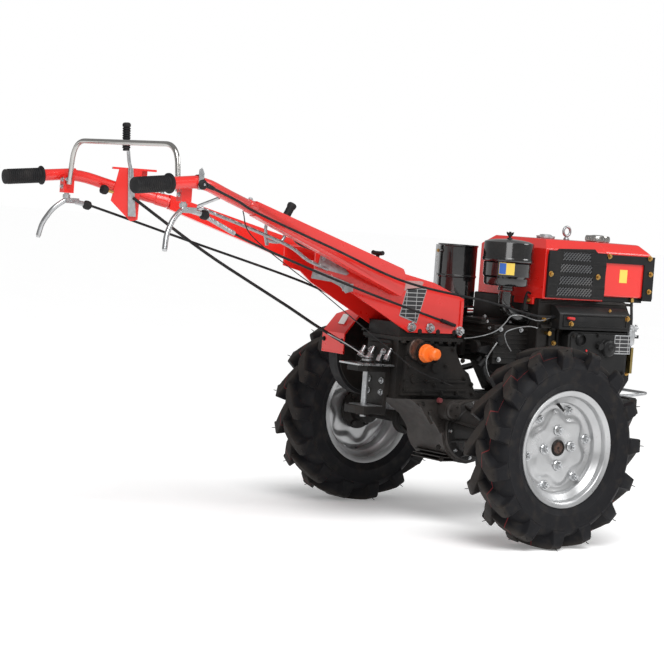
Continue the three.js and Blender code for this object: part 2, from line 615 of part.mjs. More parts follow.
// Air cleaner: a bowl under a wide cap, on a pipe into the engine.
const pipeTop = AIR_LOW_Z - 16;
add('air_cleaner_bowl', join(
  cylZ(AIR_X, AIR_Y, AIR_LOW_Z, AIR_BAND_Z, AIR_R - 8, 36),
  cylZ(AIR_X, AIR_Y, pipeTop, AIR_LOW_Z + 2, INTAKE_R + 4, 24),
), BLACK());
add('air_cleaner_cap', join(
  cylZ(AIR_X, AIR_Y, AIR_BAND_Z + SEAT_GAP, AIR_TOP_Z - 8, AIR_R, 36),
  cylZ(AIR_X, AIR_Y, AIR_TOP_Z - 10, AIR_TOP_Z, AIR_R - 12, 36),
  cylZ(AIR_X, AIR_Y, AIR_TOP_Z - 2, AIR_TOP_Z + 22, 5, 12),
), BLACK());
add('intake_elbow', rod([
  [AIR_X, AIR_Y, pipeTop - SEAT_GAP], [AIR_X, AIR_Y, 652], [AIR_X + 50, AIR_Y, HEAD_TOP_Z + 26],
  [CRANKCASE_REAR_X - SEAT_GAP, AIR_Y, HEAD_TOP_Z + 26],
], INTAKE_R, { bend: 40, sides: 14, steps: 16 }), BLACK());
add('muffler', cylZ(MUFFLER_X, MUFFLER_Y, MUFFLER_LOW_Z, MUFFLER_TOP_Z, MUFFLER_R, 36), BLACK());
const filterX = 548;
const filterY = engineY - 22;
const filterTop = 621;
add('fuel_filter', join(
  cylZ(filterX, filterY, 557, filterTop - 10, 14, 20),
  cylZ(filterX, filterY, filterTop - 12, filterTop, 9, 16),
  box(filterX - 7, filterX + 7, filterY + 6, engineY, 594, 610),
), SILVER());
add('fuel_hose', rod([
  [filterX, filterY, filterTop + SEAT_GAP], [filterX, filterY, 640], [filterX + 12, HOOD_RIGHT_Y + 8, 680],
  [filterX + 12, HOOD_RIGHT_Y + 8, TANK_LOW_Z - SEAT_GAP],
], 4.5, { bend: 16, steps: 12 }), RUBBER());

// ---------------------------------------------------------------- belt drive
const clutchFace = GUARD_IN_Y + SEAT_GAP;
add('clutch_pulley', join(
  cylY(CLUTCH_X, CLUTCH_Z, BELT_LINE_Y, BELT_LINE_Y + PULLEY_WIDE, CLUTCH_PULLEY_R, 40),
  cylY(CLUTCH_X, CLUTCH_Z, clutchFace, BELT_LINE_Y + 4, 52),
), CAST());
const loop = (grow) => beltLoop(CLUTCH_X, CLUTCH_Z, CLUTCH_PULLEY_R + grow, FLYWHEEL_X, FLYWHEEL_Z,
  CRANK_PULLEY_R + grow);
add('drive_belts', cut(
  slab(loop(BELT_GAP + BELT_THICK), BELT_LINE_Y + 2, BELT_LINE_Y + PULLEY_WIDE - 2),
  slab(loop(BELT_GAP), BELT_LINE_Y - 10, BELT_LINE_Y + PULLEY_WIDE + 10),
), RUBBER());
// The guard covers the clutch pulley and the upper run as far as the flywheel. Its
// rear end has flat corners, and it is open below and in front.
const guardGrow = BELT_GAP + BELT_THICK + GUARD_ROOM + GUARD_SHEET;
const guardRear = CLUTCH_X - CLUTCH_PULLEY_R - guardGrow;
const guardFront = FLYWHEEL_X - FLYWHEEL_R - GUARD_SHORT;
const guardRearTop = CLUTCH_Z + CLUTCH_PULLEY_R + guardGrow;
const guardFrontTop = guardRearTop + 12;
function guardOutline(inset, low, front) {
  const r = guardRear + inset;
  const rt = guardRearTop - inset;
  return [[r, low], [front, low], [front, guardFrontTop - inset], [CLUTCH_X - 20, rt],
    [r + 46, rt - 22], [r, rt - 74]];
}
function guardShell() {
  return solid(slab(guardOutline(0, GUARD_LOW_Z, guardFront), GUARD_IN_Y + 6, GUARD_OUT_Y))
    .subtract(solid(slab(guardOutline(GUARD_SHEET, GUARD_LOW_Z - 40, guardFront + 40), 0,
      GUARD_OUT_Y - GUARD_SHEET)));
}
// A stay from the ledge of the gearbox carries it.
const stayX = CLUTCH_X - 20;
const stayTop = lineAt(stayX, [guardRear + 46, guardRearTop - 22], [CLUTCH_X - 20, guardRearTop]) - 1;
const ledgeEdge = boxY + LEDGE_OUT;
const stayFoot = LEDGE_Z + SEAT_GAP;
function guardStay() {
  const [x0, x1] = [stayX - 8, stayX + 8];
  return solid(box(x0, x1, ledgeEdge - 10, ledgeEdge + 6, stayFoot, stayFoot + 6))
    .add(solid(box(x0, x1, ledgeEdge, ledgeEdge + 6, stayFoot, stayFoot + 24)))
    .add(solid(box(x0, x1, ledgeEdge, GUARD_IN_Y + 40, stayFoot + 18, stayFoot + 24)))
    .add(solid(box(x0, x1, GUARD_IN_Y + 34, GUARD_IN_Y + 40, stayFoot + 18, stayTop)));
}
add('belt_guard', geometry(guardShell().add(guardStay())), RED());

// ---------------------------------------------------------------- console
const plateIn = boxY + SEAT_GAP;
const plateOut = plateIn + PLATE_THICK;
const coverRearX = -600;
const coverRearZ = 800;
const coverTop = [PLATE_FRONT_X - 118, PLATE_TOP_Z];
const coverRear = [coverRearX, coverRearZ];
// Each side plate bolts to the gearbox and rises rearward under the handle beam.
function sidePlate() {
  return slab([
    [PLATE_FRONT_X, PLATE_LOW_Z], [PLATE_FRONT_X, PLATE_FRONT_Z], coverTop, coverRear, [coverRearX, 738],
    [-540, 724], [-500, 694], [-250, PLATE_LOW_Z],
  ], plateIn, plateOut);
}
function coverSheet() {
  const t = PLATE_THICK;
  return slab([
    [PLATE_FRONT_X, PLATE_FRONT_Z - t], [PLATE_FRONT_X, PLATE_FRONT_Z], coverTop, coverRear,
    [coverRear[0], coverRear[1] - t], [coverTop[0], coverTop[1] - t],
  ], -plateIn - 2, plateIn + 2);
}
add('console_frame', cut(join(...rightAndLeft([sidePlate()]), coverSheet()),
  box(PLATE_FRONT_X - 300, PLATE_FRONT_X + 1, plateIn - 3, plateIn, 0, LEDGE_Z),
), RED());

// ---------------------------------------------------------------- handles
const v3 = (p) => new THREE.Vector3(...p);
const beamRun = v3(BEAM_END).sub(v3(SLEEVE));
// The beam is drawn along its own length, then turned onto its line.
function handleBeam() {
  const len = Math.hypot(beamRun.x, beamRun.y);
  const rise = beamRun.z;
  const rear = BEAM_REAR_HIGH / 2;
  const front = BEAM_FRONT_HIGH / 2;
  const pts = [[0, -rear], [len, rise - front]];
  for (let i = 1; i < 8; i++) {
    const a = -Math.PI / 2 + (Math.PI * i) / 8;
    pts.push([len + Math.cos(a) * front * 0.5, rise + Math.sin(a) * front]);
  }
  pts.push([len, rise + front], [0, rear]);
  return slab(pts, -BEAM_THICK / 2, BEAM_THICK / 2).rotateZ(Math.atan2(beamRun.y, beamRun.x))
    .translate(...SLEEVE);
}
function handleTube() {
  const inBeam = v3(SLEEVE).add(beamRun.clone().setLength(2));
  const shortOf = v3(KINK).sub(v3(GRIP_END)).setLength(8).add(v3(GRIP_END));
  return rod([inBeam.toArray(), BEND, KINK, shortOf.toArray()], TUBE_R, { bend: 60, sides: 14, steps: 22 });
}
function grip() {
  const start = v3(KINK).sub(v3(GRIP_END)).setLength(GRIP_LONG).add(v3(GRIP_END));
  const run = v3(GRIP_END).sub(start);
  const bore = TUBE_R + SEAT_GAP;
  return turned([
    [0, GRIP_LONG - 7], [bore, GRIP_LONG - 7], [bore, 0], [GRIP_R + 5, 0], [GRIP_R + 5, 6], [GRIP_R, 8],
    [GRIP_R, GRIP_LONG - 3], [GRIP_R - 2, GRIP_LONG], [0, GRIP_LONG],
  ], 24).applyQuaternion(new THREE.Quaternion().setFromUnitVectors(new THREE.Vector3(0, 1, 0),
    run.normalize()))
    .translate(...start.toArray());
}
// Point on the handle tube's line between its kink and its end, at a given x.
function tubeAt(x) {
  const f = (x - KINK[0]) / (GRIP_END[0] - KINK[0]);
  return v3(KINK).lerp(v3(GRIP_END), f);
}
const clampAt = tubeAt(CLAMP_X);
const clampLow = clampAt.z - CLAMP_DROP;
const clampY = clampAt.y - CLAMP_IN;
function leverClamp() {
  return box(CLAMP_X - CLAMP_HALF, CLAMP_X + CLAMP_HALF, clampY - 12, clampY + 14, clampLow, clampAt.z);
}
// The gear lever's bracket hangs on the inner side of the left tube, in line with it.
const tubeRun = v3(SLEEVE).sub(v3(BEND));
const bracketTurn = Math.atan2(tubeRun.y, tubeRun.x);
const bracketAt = v3(BEND).lerp(v3(SLEEVE), 0.3);
const onTube = (g) => g.rotateZ(bracketTurn).translate(...bracketAt.toArray());
const bracketIn = -TUBE_R - 10;
const bracketTop = 62;
const leverPivotZ = -54;
function shiftBracket() {
  return [
    slab([[-40, bracketTop], [24, bracketTop], [22, 24], [20, leverPivotZ - 22], [0, leverPivotZ - 28],
      [-58, -28]],
      bracketIn, bracketIn + 6),
    box(-58, 64, bracketIn, TUBE_R, bracketTop - 2, bracketTop + 4),
    box(-12, 12, bracketIn + 2, -TUBE_R + 4, -8, 8),
    box(-16, 40, -4, 4, TUBE_R - 4, bracketTop),
  ].map(onTube);
}
const besidePlates = box(-2000, 500, plateOut + SEAT_GAP, 600, 0, 1200);
for (const [side, s] of SIDES) {
  const pieces = [clip(handleBeam(), besidePlates), handleTube(), leverClamp()];
  const extra = s > 0 ? shiftBracket() : [];
  add(`handle_${side}`, onSide(s, join(...pieces, ...extra)), RED());
  add(`grip_${side}`, onSide(s, grip()), RUBBER());
}
// The guard bar's feet are fixed to the inner faces of the two clamps.
const barX = CLAMP_X - 6;
const barY = clampY - 12 - BAR_R - SEAT_GAP;
const barLow = clampAt.z - 26;
const barTop = clampAt.z + BAR_HIGH;
add('guard_bar', rod([
  [barX, -barY, barLow], [barX, 18 - barY, barTop], [barX, barY - 18, barTop], [barX, barY, barLow],
], BAR_R, { bend: 80, sides: 10, steps: 30 }), CHROME());

// ---------------------------------------------------------------- controls
const leverOut = bracketIn - SEAT_GAP;
const strapThick = 7;
const leverMid = leverOut - 5.5;
const knobFoot = [-19, leverMid, 112];
const knobTop = [-30, leverMid, 190];
const knobRun = v3(knobTop).sub(v3(knobFoot));
const rodTop = v3(knobFoot).add(knobRun.clone().setLength(SEAT_GAP).negate());
const rodLow = v3(knobFoot).add(knobRun.clone().setLength(30).negate());
add('shift_lever', join(
  onTube(slab([[-8, leverPivotZ - 14], [14, leverPivotZ - 14], [-2, 66], [-16, 66]],
    leverOut - strapThick, leverOut)),
  onTube(rod([[-8, leverMid, 40], [-9, leverMid, 64], rodLow.toArray(), rodTop.toArray()], 5,
    { bend: 10, sides: 10, steps: 12 })),
), STEEL());
function knob(foot, top, r) {
  const run = v3(top).sub(v3(foot));
  const g = new THREE.CylinderGeometry(r, r - 1, run.length(), 18).translate(0, run.length() / 2, 0);
  g.applyQuaternion(new THREE.Quaternion().setFromUnitVectors(new THREE.Vector3(0, 1, 0), run.normalize()));
  return g.translate(...foot);
}
add('shift_knob', onTube(knob(knobFoot, knobTop, 12)), RUBBER());

const leverTop = clampLow - SEAT_GAP;
const leverRoute = [
  [CLAMP_X, clampY, leverTop], [CLAMP_X, clampY, leverTop - 18], [CLAMP_X - 34, clampY + 10, leverTop - 44],
  [CLAMP_X - 58, clampY + 22, leverTop - 86], [CLAMP_X - 64, clampY + 28, leverTop - 128],
];
for (const [side, s] of SIDES) {
  add(`steering_lever_${side}`, onSide(s, rod(leverRoute, LEVER_ROD_R, { bend: 26, steps: 20 })), SILVER());
}
const throttleX = KINK[0] - 16;
const throttleAt = tubeAt(throttleX);
const throttleY = throttleAt.y + TUBE_R - 0.6;
add('throttle_lever', mirrored(slab([
  [throttleX - 7, throttleAt.z - 20], [throttleX + 7, throttleAt.z - 20],
  [throttleX + 9, throttleAt.z + 22],
  [throttleX + 2, throttleAt.z + 36], [throttleX - 6, throttleAt.z + 30],
], throttleY, throttleY + 4)), SILVER());

// Sheathed cables and rods, each along its whole route between its two ends.
const besidePlate = plateOut + CABLE_R + SEAT_GAP;
const cableStart = [CLAMP_X + LEVER_ROD_R + CABLE_R - 1, clampY, leverTop - 20];
add('steering_cable_left', rod([
  cableStart, [-1118, 294, 868], [-830, 230, 789], [-460, 140, 685], [-262, besidePlate, 600],
], CABLE_R, { sides: 6, steps: 20 }), RUBBER());
add('steering_cable_right', mirrored(rod([
  cableStart, [-1118, 294, 864], [-920, 258, 796], [-500, 146, 692], [-80, besidePlate, 594],
], CABLE_R, { sides: 6, steps: 20 })), RUBBER());
add('throttle_cable', rod([
  [throttleX + 9 + SEAT_GAP, -throttleY - CABLE_R, throttleAt.z - 4], [-1030, -306, 910], [-915, -244, 880],
  [-620, -182, 800], [-310, -124, 716], [-20, -142, 672], [130, -184, 640],
  [229 - 2 * SEAT_GAP, engineY - 22, 636],
], CABLE_R, { sides: 6, steps: 26 }), RUBBER());
const rodAtLever = onTube(new THREE.BufferGeometry().setFromPoints([
  new THREE.Vector3(3, leverOut - strapThick - 6.7, leverPivotZ + 38)])).attributes.position;
add('shift_rod', rod([
  [rodAtLever.getX(0), rodAtLever.getY(0), rodAtLever.getZ(0)], [-800, 167, 756], [-560, 106, 624],
  [-440, 75, 556], [GEARBOX_REAR_X - 52, 59, 507], [GEARBOX_REAR_X - 2 * SEAT_GAP, 58, 503],
], 4.5, { sides: 6, steps: 20 }), RUBBER());
add('clutch_rod', rod([
  [-1070, -200, 884], [-760, -140, 806], [-640, -96, 762], [-560, -besidePlate - 2, 738],
], 5, { sides: 8, steps: 14 }), STEEL());

// ---------------------------------------------------------------- place in the row frame
const bounds = new THREE.Box3().setFromObject(group);
const middle = bounds.getCenter(new THREE.Vector3());
group.position.set(-middle.x, -middle.y, -bounds.min.z);
group.updateMatrixWorld(true);

export default group;
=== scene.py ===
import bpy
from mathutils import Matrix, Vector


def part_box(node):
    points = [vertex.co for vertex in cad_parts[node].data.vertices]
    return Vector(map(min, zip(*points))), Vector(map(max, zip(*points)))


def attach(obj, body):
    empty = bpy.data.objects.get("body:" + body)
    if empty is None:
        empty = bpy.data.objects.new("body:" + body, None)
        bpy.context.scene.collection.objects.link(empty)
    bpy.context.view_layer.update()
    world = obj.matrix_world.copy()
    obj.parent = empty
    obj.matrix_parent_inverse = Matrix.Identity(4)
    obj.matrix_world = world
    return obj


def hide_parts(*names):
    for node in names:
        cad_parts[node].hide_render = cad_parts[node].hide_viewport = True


bl_info = {
    "name": "Walking tractor",
    "version": (1, 0, 0),
    "blender": (4, 5, 0),
    "location": "View3D > Sidebar > Walking tractor",
    "description": "Builds the looks of a walking tractor round its packed frame",
    "category": "Object",
}

import math

import bmesh
import bpy
from bpy.props import FloatProperty, FloatVectorProperty, IntProperty, PointerProperty
from mathutils import Matrix, Vector

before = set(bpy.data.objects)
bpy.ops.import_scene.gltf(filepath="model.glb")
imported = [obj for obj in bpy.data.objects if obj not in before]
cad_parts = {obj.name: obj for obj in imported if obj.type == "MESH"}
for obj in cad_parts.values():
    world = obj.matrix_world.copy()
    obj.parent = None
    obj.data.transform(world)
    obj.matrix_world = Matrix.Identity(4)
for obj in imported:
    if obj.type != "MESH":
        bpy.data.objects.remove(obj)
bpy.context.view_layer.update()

# Pieces are drawn in millimetres, X forward, Y to the left and Z up, with the axle over the
# origin and the ground at Z = 0. finished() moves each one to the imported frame.
MM = 0.001
RIM_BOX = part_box("rim_right")
AXLE_X = (RIM_BOX[0].x + RIM_BOX[1].x) / 2
AXLE_Z = (RIM_BOX[0].z + RIM_BOX[1].z) / 2 / MM
WHEEL_Y = -(RIM_BOX[0].y + RIM_BOX[1].y) / 2 / MM
TO_ROW = Matrix.Translation((AXLE_X, 0, 0)) @ Matrix.Scale(MM, 4)
TO_MM = TO_ROW.inverted()
X, Y, Z = Vector((1, 0, 0)), Vector((0, 1, 0)), Vector((0, 0, 1))
RIGHT, LEFT = -1, 1
SIDES = (("right", RIGHT), ("left", LEFT))


# ------------------------------------------------------------------ sizes and colours
class WheelSizes(bpy.types.PropertyGroup):
    """Sizes of the tyres and rims"""

    lugs: IntProperty(
        name="Lugs on each side", description="Tread lugs on one half of a tyre", default=15, min=6, max=30)
    lug_height: FloatProperty(
        name="Lug height", description="Height of a lug over the carcass", default=0.0255, unit="LENGTH")
    lug_width: FloatProperty(
        name="Lug width", description="Width of a lug at its foot", default=0.062, unit="LENGTH")
    lug_sweep: FloatProperty(
        name="Lug sweep", description="How far a lug's outer end trails its inner end",
        default=math.radians(17), subtype="ANGLE")
    bolt_circle: FloatProperty(
        name="Rim bolt circle", description="Radius of the six outer bolts", default=0.112, unit="LENGTH")
    nut_circle: FloatProperty(
        name="Hub nut circle", description="Radius of the four hub nuts", default=0.050, unit="LENGTH")
    vent_hair: FloatProperty(
        name="Vent hair", description="Length of the moulding hairs on the lugs", default=0.008,
        unit="LENGTH")


class EngineSizes(bpy.types.PropertyGroup):
    """Sizes on the engine"""

    seam: FloatProperty(
        name="Seam width", description="Width of the rolled seams on the muffler", default=0.004,
        unit="LENGTH")
    mesh_pitch: FloatProperty(
        name="Grille mesh pitch", description="Distance between the strands of the mesh", default=0.012,
        unit="LENGTH")
    bolt: FloatProperty(
        name="Cover bolt", description="Radius of the covers' bolt heads", default=0.008, unit="LENGTH")


class HandleSizes(bpy.types.PropertyGroup):
    """Sizes on the handles"""

    grip_ribs: IntProperty(
        name="Grip ribs", description="Rings moulded round each grip", default=16, min=2, max=40)
    bar_radius: FloatProperty(
        name="Guard bar radius", description="Radius of the chromed guard bar", default=0.007, unit="LENGTH")


class Finishes(bpy.types.PropertyGroup):
    """Colours of the paints and plastics"""

    red: FloatVectorProperty(
        name="Red paint", description="Paint of the handles, console, hood and tank", subtype="COLOR", size=4,
        min=0, max=1, default=(0.74, 0.018, 0.012, 1))
    black: FloatVectorProperty(
        name="Black paint", description="Paint of the sheet metal and castings", subtype="COLOR", size=4,
        min=0, max=1, default=(0.007, 0.007, 0.0075, 1))
    silver: FloatVectorProperty(
        name="Silver paint", description="Paint of the rims", subtype="COLOR", size=4,
        min=0, max=1, default=(0.50, 0.505, 0.51, 1))
    rubber: FloatVectorProperty(
        name="Rubber", description="Rubber of the tyres", subtype="COLOR", size=4,
        min=0, max=1, default=(0.009, 0.009, 0.0105, 1))
    cap: FloatVectorProperty(
        name="Orange cap", description="Plastic of the shaft cap", subtype="COLOR", size=4,
        min=0, max=1, default=(0.93, 0.17, 0.02, 1))
    floor: FloatVectorProperty(
        name="Floor", description="Colour of the studio floor", subtype="COLOR", size=4,
        min=0, max=1, default=(0.97, 0.97, 0.97, 1))


def mm(length):
    return length / MM


# ------------------------------------------------------------------ materials
class Nodes:
    """A material's node tree, with short ways to add to it."""

    def __init__(self, name):
        self.material = bpy.data.materials.new(name)
        self.material.use_nodes = True
        self.tree = self.material.node_tree
        self.shader = self.tree.nodes["Principled BSDF"]
        self.coords = self.add("ShaderNodeTexCoord").outputs["Object"]

    def add(self, kind, **settings):
        node = self.tree.nodes.new(kind)
        for key, value in settings.items():
            setattr(node, key, value)
        return node

    def link(self, a, b):
        self.tree.links.new(a, b)

    def stretched(self, scale):
        node = self.add("ShaderNodeMapping")
        node.inputs["Scale"].default_value = scale
        self.link(self.coords, node.inputs["Vector"])
        return node.outputs[0]

    def noise(self, scale, detail=3.0, stretch=None):
        node = self.add("ShaderNodeTexNoise")
        node.inputs["Scale"].default_value = scale
        node.inputs["Detail"].default_value = detail
        self.link(self.stretched(stretch) if stretch else self.coords, node.inputs["Vector"])
        return node.outputs[0]

    def cells(self, scale, feature="F1"):
        node = self.add("ShaderNodeTexVoronoi", feature=feature)
        node.inputs["Scale"].default_value = scale
        self.link(self.coords, node.inputs["Vector"])
        return node.outputs[0]

    def ramp(self, value, low, high, to_low, to_high):
        node = self.add("ShaderNodeMapRange")
        self.link(value, node.inputs["Value"])
        for key, number in zip(("From Min", "From Max", "To Min", "To Max"), (low, high, to_low, to_high)):
            node.inputs[key].default_value = number
        return node.outputs[0]

    def math(self, operation, a, b=None):
        node = self.add("ShaderNodeMath", operation=operation)
        for socket, value in zip(node.inputs, (a, b)):
            if isinstance(value, (int, float)):
                socket.default_value = value
            elif value is not None:
                self.link(value, socket)
        return node.outputs[0]

    def blend(self, factor, a, b):
        node = self.add("ShaderNodeMix", data_type="RGBA")
        self.link(factor, node.inputs[0])
        for socket, value in ((node.inputs[6], a), (node.inputs[7], b)):
            if isinstance(value, bpy.types.NodeSocket):
                self.link(value, socket)
            else:
                socket.default_value = value
        return node.outputs[2]

    def bump(self, height, strength, distance, under=None):
        node = self.add("ShaderNodeBump")
        node.inputs["Strength"].default_value = strength
        node.inputs["Distance"].default_value = distance
        self.link(height, node.inputs["Height"])
        if under:
            self.link(under, node.inputs["Normal"])
        return node.outputs[0]

    def axis(self, name):
        node = self.add("ShaderNodeSeparateXYZ")
        self.link(self.coords, node.inputs[0])
        return node.outputs[name]

    def axle_distance(self):
        x = self.math("SUBTRACT", self.axis("X"), AXLE_X)
        z = self.math("SUBTRACT", self.axis("Z"), AXLE_Z * MM)
        return self.math("SQRT", self.math("ADD", self.math("MULTIPLY", x, x), self.math("MULTIPLY", z, z)))

    def finish(self, colour, rough, normal, metallic=0.0, coat=0.0, coat_rough=0.1, specular=0.5):
        s = self.shader.inputs
        self.link(colour, s["Base Color"])
        self.link(rough, s["Roughness"])
        self.link(normal, s["Normal"])
        s["Metallic"].default_value = metallic
        s["Coat Weight"].default_value = coat
        s["Coat Roughness"].default_value = coat_rough
        s["Specular IOR Level"].default_value = specular
        return self.material


def shaded(colour, factor):
    return tuple(c * factor for c in colour[:3]) + (1,)


def toward(colour, other, share):
    return tuple(a + (b - a) * share for a, b in zip(colour[:3], other)) + (1,)


def painted(name, colour, rough, coat, peel=0.12, drift=0.88, dust=0.0, specular=0.5):
    """Sprayed paint: slight drift of colour, orange peel and a film of dust."""
    n = Nodes(name)
    soft = n.ramp(n.noise(3.0, 2), 0.3, 0.7, 0, 1)
    tone = n.blend(soft, tuple(colour), shaded(colour, drift))
    film = n.ramp(n.noise(14, 5), 0.45, 0.8, 0, dust)
    tone = n.blend(film, tone, (0.30, 0.27, 0.24, 1))
    gloss = n.ramp(n.noise(22, 4), 0.3, 0.7, rough * 0.85, rough * 1.25)
    skin = n.bump(n.noise(420, 2), peel, 0.0004)
    skin = n.bump(n.noise(26, 1), 0.10, 0.002, skin)
    return n.finish(tone, gloss, skin, coat=coat, specular=specular)


def cast_iron(name, colour):
    """Painted castings: sandy skin under gloss paint, with oily and dusty patches."""
    n = Nodes(name)
    patch = n.ramp(n.noise(9, 5), 0.4, 0.68, 0, 1)
    tone = n.blend(patch, tuple(colour), toward(colour, (0.032, 0.026, 0.022), 0.45))
    gloss = n.ramp(n.noise(17, 5), 0.32, 0.7, 0.30, 0.60)
    skin = n.bump(n.noise(260, 4), 0.35, 0.0012)
    skin = n.bump(n.noise(48, 3), 0.28, 0.003, skin)
    return n.finish(tone, gloss, skin, coat=0.05, coat_rough=0.25, specular=0.18)


def bare_metal(name, colour, rough, spangle=0.0, grain=300.0, warm=(0.35, 0.30, 0.24), metallic=1.0):
    """Plated or bare metal with faint spangle, fine scratches and a little dirt."""
    n = Nodes(name)
    flakes = n.ramp(n.cells(90), 0.0, 0.8, 0, spangle)
    tone = n.blend(flakes, tuple(colour), shaded(colour, 0.55))
    grime = n.ramp(n.noise(60, 4), 0.55, 0.8, 0, 0.4)
    tone = n.blend(grime, tone, (*warm, 1))
    gloss = n.ramp(n.noise(80, 4), 0.3, 0.7, rough * 0.75, rough * 1.4)
    return n.finish(tone, gloss, n.bump(n.noise(grain, 3, (1, 6, 1)), 0.18, 0.0005), metallic=metallic)


def moulded(name, colour, rough, grain=380.0, depth=0.25, dust=0.15, specular=0.4):
    """Rubber or plastic with a fine moulded grain."""
    n = Nodes(name)
    film = n.ramp(n.noise(30, 5), 0.45, 0.75, 0, dust)
    tone = n.blend(film, tuple(colour), toward(colour, (0.20, 0.18, 0.16), 0.6))
    gloss = n.ramp(n.noise(40, 3), 0.3, 0.7, rough * 0.85, min(1, rough * 1.15))
    return n.finish(tone, gloss, n.bump(n.noise(grain, 3), depth, 0.0006), specular=specular)


def tyre_rubber(name, colour):
    """Black rubber, lighter and patchy towards the lugs' tops, with one thin painted line round the tread."""
    n = Nodes(name)
    radius = n.axle_distance()
    out = n.math("SUBTRACT", n.math("ABSOLUTE", n.axis("Y")), WHEEL_Y * MM)
    # Lighter brownish grey towards the lugs' tops, in patches.
    lighter_lug_tops = n.math("MULTIPLY", n.ramp(radius, 0.268, 0.282, 0, 1), n.ramp(n.noise(24, 4), 0.3, 0.7, 0.25, 0.8))
    tone = n.blend(lighter_lug_tops, tuple(colour), (0.040, 0.034, 0.029, 1))
    dirt = n.ramp(n.noise(34, 6), 0.52, 0.8, 0, 0.4)
    tone = n.blend(dirt, tone, (0.045, 0.036, 0.028, 1))
    band = n.math("LESS_THAN", n.math("ABSOLUTE", n.math("SUBTRACT", out, 0.021)), 0.0007)
    line = n.math("MULTIPLY", band, n.math("GREATER_THAN", radius, 0.245))
    line = n.math("MULTIPLY", line, n.ramp(n.noise(50, 3), 0.35, 0.6, 0.2, 0.9))
    tone = n.blend(line, tone, (0.26, 0.03, 0.035, 1))
    gloss = n.ramp(n.noise(26, 4), 0.3, 0.7, 0.46, 0.72)
    skin = n.bump(n.noise(300, 4), 0.3, 0.0008)
    skin = n.bump(n.noise(36, 2), 0.22, 0.002, skin)
    return n.finish(tone, gloss, skin, specular=0.14)


def rim_silver(name, colour):
    """Silver paint on pressed steel, with faint turning marks and flow of the paint."""
    n = Nodes(name)
    radius = n.axle_distance()
    rings = n.math("SINE", n.math("MULTIPLY", radius, 2600))
    tone = n.blend(n.ramp(n.noise(11, 3), 0.35, 0.7, 0, 1), tuple(colour), shaded(colour, 0.82))
    specks = n.ramp(n.noise(130, 4), 0.62, 0.8, 0, 0.5)
    tone = n.blend(specks, tone, (0.30, 0.28, 0.25, 1))
    gloss = n.ramp(n.noise(18, 3), 0.3, 0.7, 0.26, 0.42)
    skin = n.bump(rings, 0.03, 0.0004)
    skin = n.bump(n.noise(15, 2), 0.25, 0.004, skin)
    skin = n.bump(n.noise(500, 2), 0.06, 0.0003, skin)
    return n.finish(tone, gloss, skin, metallic=0.75, coat=0.2, coat_rough=0.2)


def oiled_axle(name):
    """Oily brown end of the axle."""
    n = Nodes(name)
    tone = n.blend(n.ramp(n.noise(120, 5), 0.35, 0.65, 0, 1), (0.030, 0.018, 0.014, 1),
                   (0.10, 0.055, 0.040, 1))
    return n.finish(tone, n.ramp(n.noise(90, 3), 0.3, 0.7, 0.25, 0.6), n.bump(n.noise(200, 3), 0.4, 0.001),
                    metallic=0.4)


def blank_plate(name, ground, mark, cell):
    """A blank plate: plain ground with an empty ruled field and no writing."""
    n = Nodes(name)
    brick = n.add("ShaderNodeTexBrick", offset=0.0)
    turned = n.add("ShaderNodeMapping")
    turned.inputs["Rotation"].default_value = (math.radians(90), 0, 0)
    n.link(n.coords, turned.inputs["Vector"])
    n.link(turned.outputs[0], brick.inputs["Vector"])
    for key, value in (("Scale", 1.0), ("Brick Width", cell * 3), ("Row Height", cell),
                       ("Mortar Size", cell * 0.09)):
        brick.inputs[key].default_value = value
    brick.inputs["Color1"].default_value = ground
    brick.inputs["Color2"].default_value = shaded(ground, 0.8)
    brick.inputs["Mortar"].default_value = mark
    return n.finish(brick.outputs["Color"], n.ramp(n.noise(70, 3), 0.3, 0.7, 0.3, 0.45),
                    n.bump(n.noise(240, 2), 0.08, 0.0004), metallic=0.2)


def studio_floor(name, colour):
    n = Nodes(name)
    tone = n.blend(n.ramp(n.noise(1.5, 2), 0.3, 0.7, 0, 1), tuple(colour), shaded(colour, 0.985))
    n.shader.inputs["Emission Color"].default_value = WHITE
    n.shader.inputs["Emission Strength"].default_value = 0.2
    return n.finish(tone, n.ramp(n.noise(6, 2), 0.3, 0.7, 0.75, 0.85), n.bump(n.noise(60, 2), 0.02, 0.0005),
                    specular=0.2)


FINISH = {}


